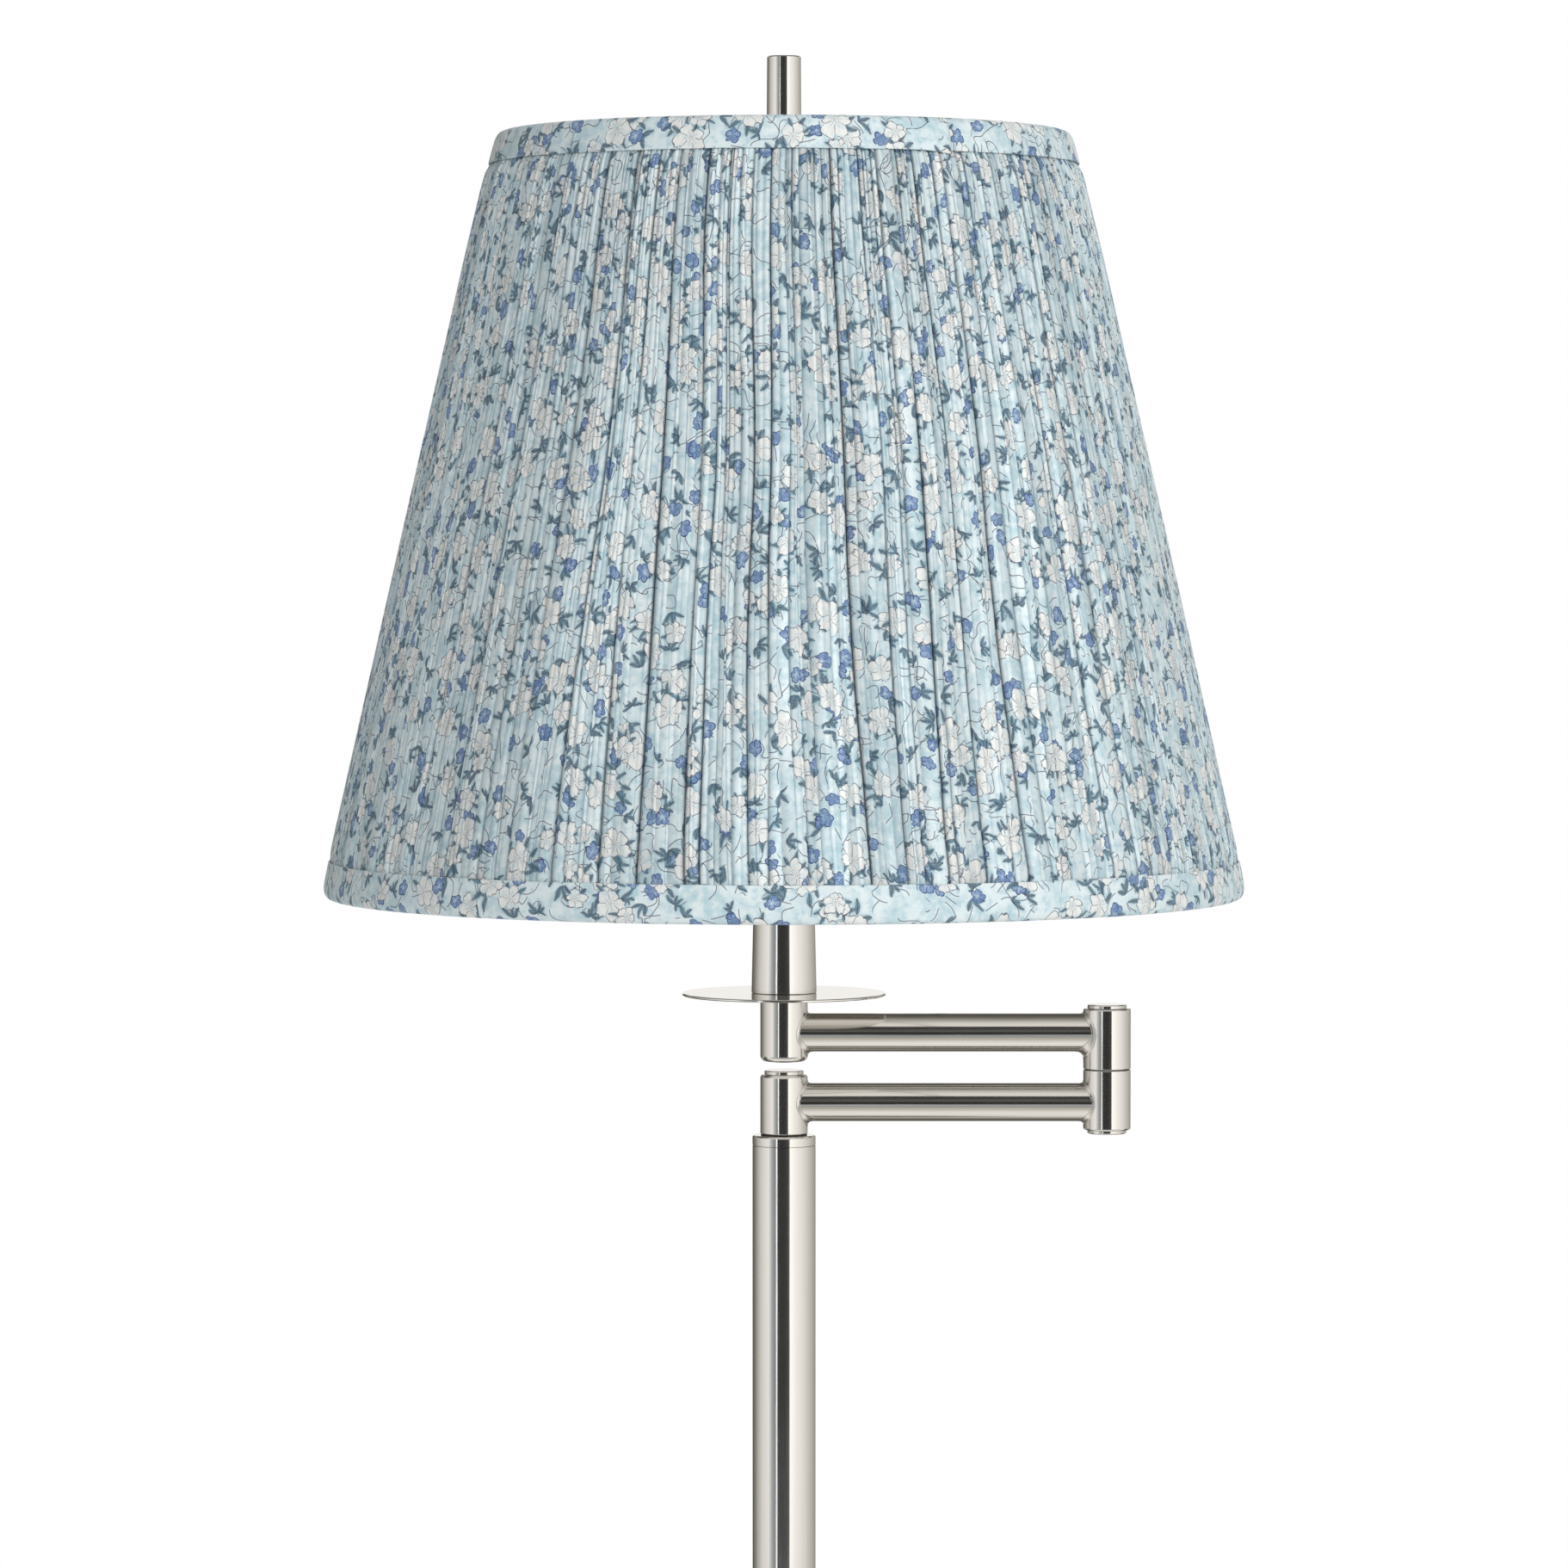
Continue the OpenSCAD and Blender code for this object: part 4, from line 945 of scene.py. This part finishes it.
def band(name, path, start, lap, lift, droop, seed, material, flat_held="laid", wave=0.12, steps=420):
    """A strip of cloth laid round the shade, whose ends lap. path has (radius, height) in mm, from one
    edge of the strip to the other, along the middle of its thickness."""
    n_a = value_noise(seed)
    pts = np.array(path, float)
    # smooth the path
    for _ in range(2):
        q = [pts[0]]
        for i in range(len(pts) - 1):
            q += [0.75 * pts[i] + 0.25 * pts[i + 1], 0.25 * pts[i] + 0.75 * pts[i + 1]]
        q.append(pts[-1])
        pts = np.array(q)
    seg = np.diff(pts, axis=0)
    tang = np.vstack([seg[:1], seg[:-1] + seg[1:], seg[-1:]])
    tang /= np.linalg.norm(tang, axis=1)[:, None]
    norm = np.stack([tang[:, 1], -tang[:, 0]], axis=1)
    mid = pts.mean(axis=0)
    if ((pts - mid) * norm).sum() < 0:
        norm = -norm
    v = np.concatenate([[0], np.cumsum(np.linalg.norm(seg, axis=1))])
    half = 0.30
    # loop of the section: out along the outer face, back along the inner one, with round edges
    outer, inner = pts + norm * half, pts - norm * half
    e0 = pts[0] - tang[0] * half * 0.8
    e1 = pts[-1] + tang[-1] * half * 0.8
    sect = np.vstack([outer, [e1], inner[::-1], [e0]])
    vv = np.concatenate([v, [v[-1] + half], v[::-1], [-half]])
    m = len(sect)
    outer_face = np.concatenate([np.ones(len(pts)), [1], np.zeros(len(pts)), [0]])
    r_mean = pts[:, 0].max()
    total = 2 * math.pi + lap / r_mean
    a = np.linspace(0, total, steps + 1)
    s = a * r_mean
    tail = np.clip((s - (s[-1] - lap - 16.0)) / 14.0, 0, 1)
    tail = tail * tail * (3 - 2 * tail)
    slack = np.clip((s - (s[-1] - lap)) / lap, 0, 1) ** 1.6
    head = np.clip(1 - s / 20.0, 0, 1)
    k = np.clip(vv / v[-1], 0, 1)
    show = np.clip(1 - np.abs(k - 0.0) / 0.45, 0, 1)    # the edge that meets the pleats moves most
    wav = wave * n_a(s / 11.0, 0.3) * (1 - np.clip(tail + head, 0, 1)) + 0.10 * n_a(s / 31.0 + 50, 2.1)
    R = sect[None, :, 0] + (tail[:, None] * lift) + wav[:, None] * show[None, :] * 0.8
    Z = sect[None, :, 1] + (wav[:, None] * 0.9 + droop * slack[:, None]) * show[None, :]
    th = start + a
    co = np.stack([R * np.cos(th)[:, None], R * np.sin(th)[:, None], np.broadcast_to(Z, R.shape)], axis=2) * MM
    n = steps + 1
    idx = np.arange(n * m).reshape(n, m)
    nxt = np.roll(idx, -1, axis=1)
    quads = np.stack([idx[:-1], idx[1:], nxt[1:], nxt[:-1]], axis=2).reshape(-1, 4)
    faces = [tuple(q) for q in quads.tolist()]
    # the cut ends, closed in quads between the two faces of the strip
    np_ = len(pts)
    for row, flip in ((0, False), (n - 1, True)):
        ring = idx[row]
        for i in range(np_ - 1):
            q = (ring[i], ring[i + 1], ring[2 * np_ - 1 - i], ring[2 * np_ - i])
            faces.append(tuple(int(x) for x in (q[::-1] if flip else q)))
        tri0 = (ring[0], ring[2 * np_], ring[2 * np_ + 1])
        tri1 = (ring[np_ - 1], ring[np_], ring[np_ + 1])
        for tri in (tri0, tri1):
            faces.append(tuple(int(x) for x in (tri[::-1] if flip else tri)))
    me = bpy.data.meshes.new(name)
    me.from_pydata(co.reshape(-1, 3).tolist(), [], faces)
    me.update()
    uvs = me.uv_layers.new(name="Cloth")
    us = np.repeat(s, m)
    vs = np.tile(vv, n)
    vi = np.zeros(len(me.loops), np.int32)
    me.loops.foreach_get("vertex_index", vi)
    uvs.data.foreach_set("uv", (np.stack([us[vi] + seed * 1.37 * 100, vs[vi] + seed * 53.0], axis=1) * MM)
                         .reshape(-1).astype(np.float32))
    o = link(name, me, [material])
    import bmesh
    bm = bmesh.new()
    bm.from_mesh(me)
    bmesh.ops.recalc_face_normals(bm, faces=bm.faces)
    bm.to_mesh(me)
    bm.free()
    me.polygons.foreach_set("use_smooth", [True] * len(me.polygons))
    return o, (s[-1] * MM, v[-1] * MM)


TOP_PATH = [(129.30, 1452.4), (128.55, 1455.6), (127.6, 1459.2), (126.85, 1461.8), (126.1, 1463.9),
            (124.9, 1465.5), (123.2, 1466.2), (121.6, 1466.2), (120.1, 1465.4), (119.3, 1463.8),
            (119.3, 1461.0), (119.75, 1458.2), (120.3, 1455.8)]
BOT_PATH = [(200.05, 1147.2), (200.6, 1144.6), (201.3, 1141.2), (201.9, 1138.0), (202.15, 1135.6),
            (201.9, 1133.6), (201.0, 1132.1), (199.5, 1131.45), (197.9, 1131.4), (196.4, 1131.8),
            (195.15, 1133.0), (194.5, 1135.2), (193.8, 1138.2), (193.0, 1141.4)]
# the ends lap to the right of the middle: the top band's in front of the pole's line, the bottom
# band's nearer the side
th_top = -math.pi / 2 + math.asin(70.0 / 128.5)
th_bot = -math.pi / 2 + math.asin(153.0 / 202.0)
top_band, top_flat = band("band_top", TOP_PATH, th_top - 16.0 / 128.5, 16.0, 0.75, -1.5, 3, band_cloth)
bot_band, bot_flat = band("band_bottom", BOT_PATH, th_bot - 16.0 / 202.0, 16.0, 0.75, 1.1, 8, band_cloth, steps=560)
for o, flat, node in ((top_band, top_flat, "top_trim"), (bot_band, bot_flat, "bottom_trim")):
    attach(o, "upper_arm")
    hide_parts(node)
    o.visible_glossy = False


def make_liner():
    """Thin lining inside the wires, with its lapped seam at the back."""
    n_a = value_noise(77)
    rows, steps, lap = 26, 360, 7.0
    z = np.linspace(1134.3, 1458.1, rows)
    t = (z - z[0]) / (z[-1] - z[0])
    face = cone_r(z) - 5.70 / CB
    n = steps + 1
    rm = face.mean()
    a = np.linspace(0, 2 * math.pi + lap / rm, n)
    tail = np.clip((a - a[-1] + 3 * lap / rm) / (2 * lap / rm), 0, 1)
    s = a * rm
    pull = -0.10 - 0.10 * np.cos(8 * (a + math.pi / 2 - math.pi / 8))     # held by the ribs, slack between
    pucker = 0.12 * n_a(s / 4.0, 1.0)
    edge = np.exp(-t * 14) + np.exp(-(1 - t) * 14)
    nin = pull[:, None] * np.sin(math.pi * t)[None, :] + pucker[:, None] * edge[None, :] * 0.8 - 0.45 * tail[:, None]
    outr = face[None, :] + nin
    inr = outr - 0.42
    th = math.pi / 2 - (lap / 2) / rm + a
    def ring(r):
        return np.stack([r * np.cos(th)[:, None], r * np.sin(th)[:, None],
                         np.broadcast_to(z[None, :], r.shape)], axis=2)
    co = np.concatenate([ring(outr), ring(inr)[:, ::-1]], axis=1) * MM
    m = 2 * rows
    idx = np.arange(n * m).reshape(n, m)
    nxt = np.roll(idx, -1, axis=1)
    quads = np.stack([idx[:-1], idx[1:], nxt[1:], nxt[:-1]], axis=2).reshape(-1, 4)
    faces = [tuple(q) for q in quads.tolist()]
    for row in (0, n - 1):
        r = idx[row]
        for i in range(rows - 1):
            faces.append(tuple(int(x) for x in (r[i], r[i + 1], r[m - 2 - i], r[m - 1 - i])))
    me = bpy.data.meshes.new("lining_sheet")
    me.from_pydata(co.reshape(-1, 3).tolist(), [], faces)
    me.update()
    vi = np.zeros(len(me.loops), np.int32)
    me.loops.foreach_get("vertex_index", vi)
    us = np.repeat(s, m)
    vs = np.tile(np.concatenate([z, z[::-1]]), n)
    me.uv_layers.new(name="Cloth").data.foreach_set(
        "uv", (np.stack([us[vi], vs[vi]], axis=1) * MM).reshape(-1).astype(np.float32))
    o = link("lining_sheet", me, [lining])
    import bmesh
    bm = bmesh.new()
    bm.from_mesh(me)
    bmesh.ops.recalc_face_normals(bm, faces=bm.faces)
    bm.to_mesh(me)
    bm.free()
    me.polygons.foreach_set("use_smooth", [True] * len(me.polygons))
    r1, r2 = face[-1] / SB, face[0] / SB
    fan = 2 * math.pi * SB * 1.0
    chord = 2 * r2 * math.sin(fan / 2) * MM
    tall = (r2 - r1 * math.cos(fan / 2)) * MM
    area = math.pi * (face[0] + face[-1]) * (z[-1] - z[0]) / CB * MM * MM
    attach(o, "upper_arm")
    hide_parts("shade_liner")
    o.visible_glossy = False
    return o


liner = make_liner()


# ---------------------------------------------------------------------------------------------
# Weld fillets where the arm tubes meet the knuckles
# ---------------------------------------------------------------------------------------------
def fillet(name, x_knuckle, side, z_arm, z_lo, z_hi, body, size, seed, sag=0.0):
    """Concave fillet round an arm's end. side is +1 where the arm leaves towards +X. It is a little
    uneven, and it grows by sag under the arm."""
    rng = random.Random(seed)
    ph = [rng.uniform(0, 6.28) for _ in range(4)]
    ra, rk = 8.5, 10.5
    n, m = 96, 7
    verts = []
    for i in range(n):
        p = 2 * math.pi * i / n
        y, dz = ra * math.sin(p), ra * math.cos(p)
        x0 = math.sqrt(rk * rk - y * y)
        f = size * (1 + 0.16 * math.sin(2 * p + ph[0]) + 0.10 * math.sin(5 * p + ph[1]) + 0.06 * math.sin(11 * p + ph[2]))
        f += sag * max(0.0, -math.cos(p)) ** 2
        A = (x0 + f, y * 1.004, dz * 1.004)
        arc = rk * math.asin(max(-1, min(1, y / rk)))
        ln = math.hypot(arc, dz)
        f2 = min(f, ((z_hi - z_arm - 0.25) - dz) / max(dz / ln, 1e-6) if dz > 0 else ((z_arm - z_lo - 0.25) + dz) / max(-dz / ln, 1e-6)) if abs(dz) > 1e-6 else f
        f2 = max(f2, 0.15)
        a2, z2 = arc * (1 + f2 / ln), dz * (1 + f2 / ln)
        t2 = a2 / rk
        rb = rk * 1.002
        B = (rb * math.cos(t2), rb * math.sin(t2), z2)
        C = (x0 + 0.02, y, dz)
        inner = (x0 - 0.25, y * 0.97, dz * 0.97)
        for j in range(m):
            u = j / (m - 1)
            w = [(1 - u) ** 2, 2 * u * (1 - u), u * u]
            verts.append(tuple(w[0] * A[k] + w[1] * C[k] + w[2] * B[k] for k in range(3)))
        verts.append(inner)
    m += 1
    out = [((x_knuckle + side * v[0]) * MM, v[1] * MM, (z_arm + v[2]) * MM) for v in verts]
    faces = []
    for i in range(n):
        for j in range(m):
            q = (i * m + j, ((i + 1) % n) * m + j, ((i + 1) % n) * m + (j + 1) % m, i * m + (j + 1) % m)
            faces.append(q if side > 0 else q[::-1])
    me = bpy.data.meshes.new(name)
    me.from_pydata(out, [], faces)
    me.update()
    o = link(name, me, [nickel_weld])
    import bmesh
    bm = bmesh.new()
    bm.from_mesh(me)
    bmesh.ops.recalc_face_normals(bm, faces=bm.faces)
    bm.to_mesh(me)
    bm.free()
    me.polygons.foreach_set("use_smooth", [True] * len(me.polygons))
    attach(o, body)
    return o


fillet("weld_head", 0.0, 1, 1071.0, 1058.3, 1086.9, "upper_arm", 1.1, 1, 1.0)
fillet("weld_elbow_upper", 142.5, -1, 1071.0, 1055.05, 1081.8, "upper_arm", 1.2, 2, 2.4)
fillet("weld_pole", 0.0, 1, 1040.2, 1026.3, 1052.7, "lower_arm", 1.1, 3, 0.9)
fillet("weld_elbow_lower", 142.5, -1, 1040.2, 1028.0, 1054.6, "lower_arm", 1.1, 4, 0.6)
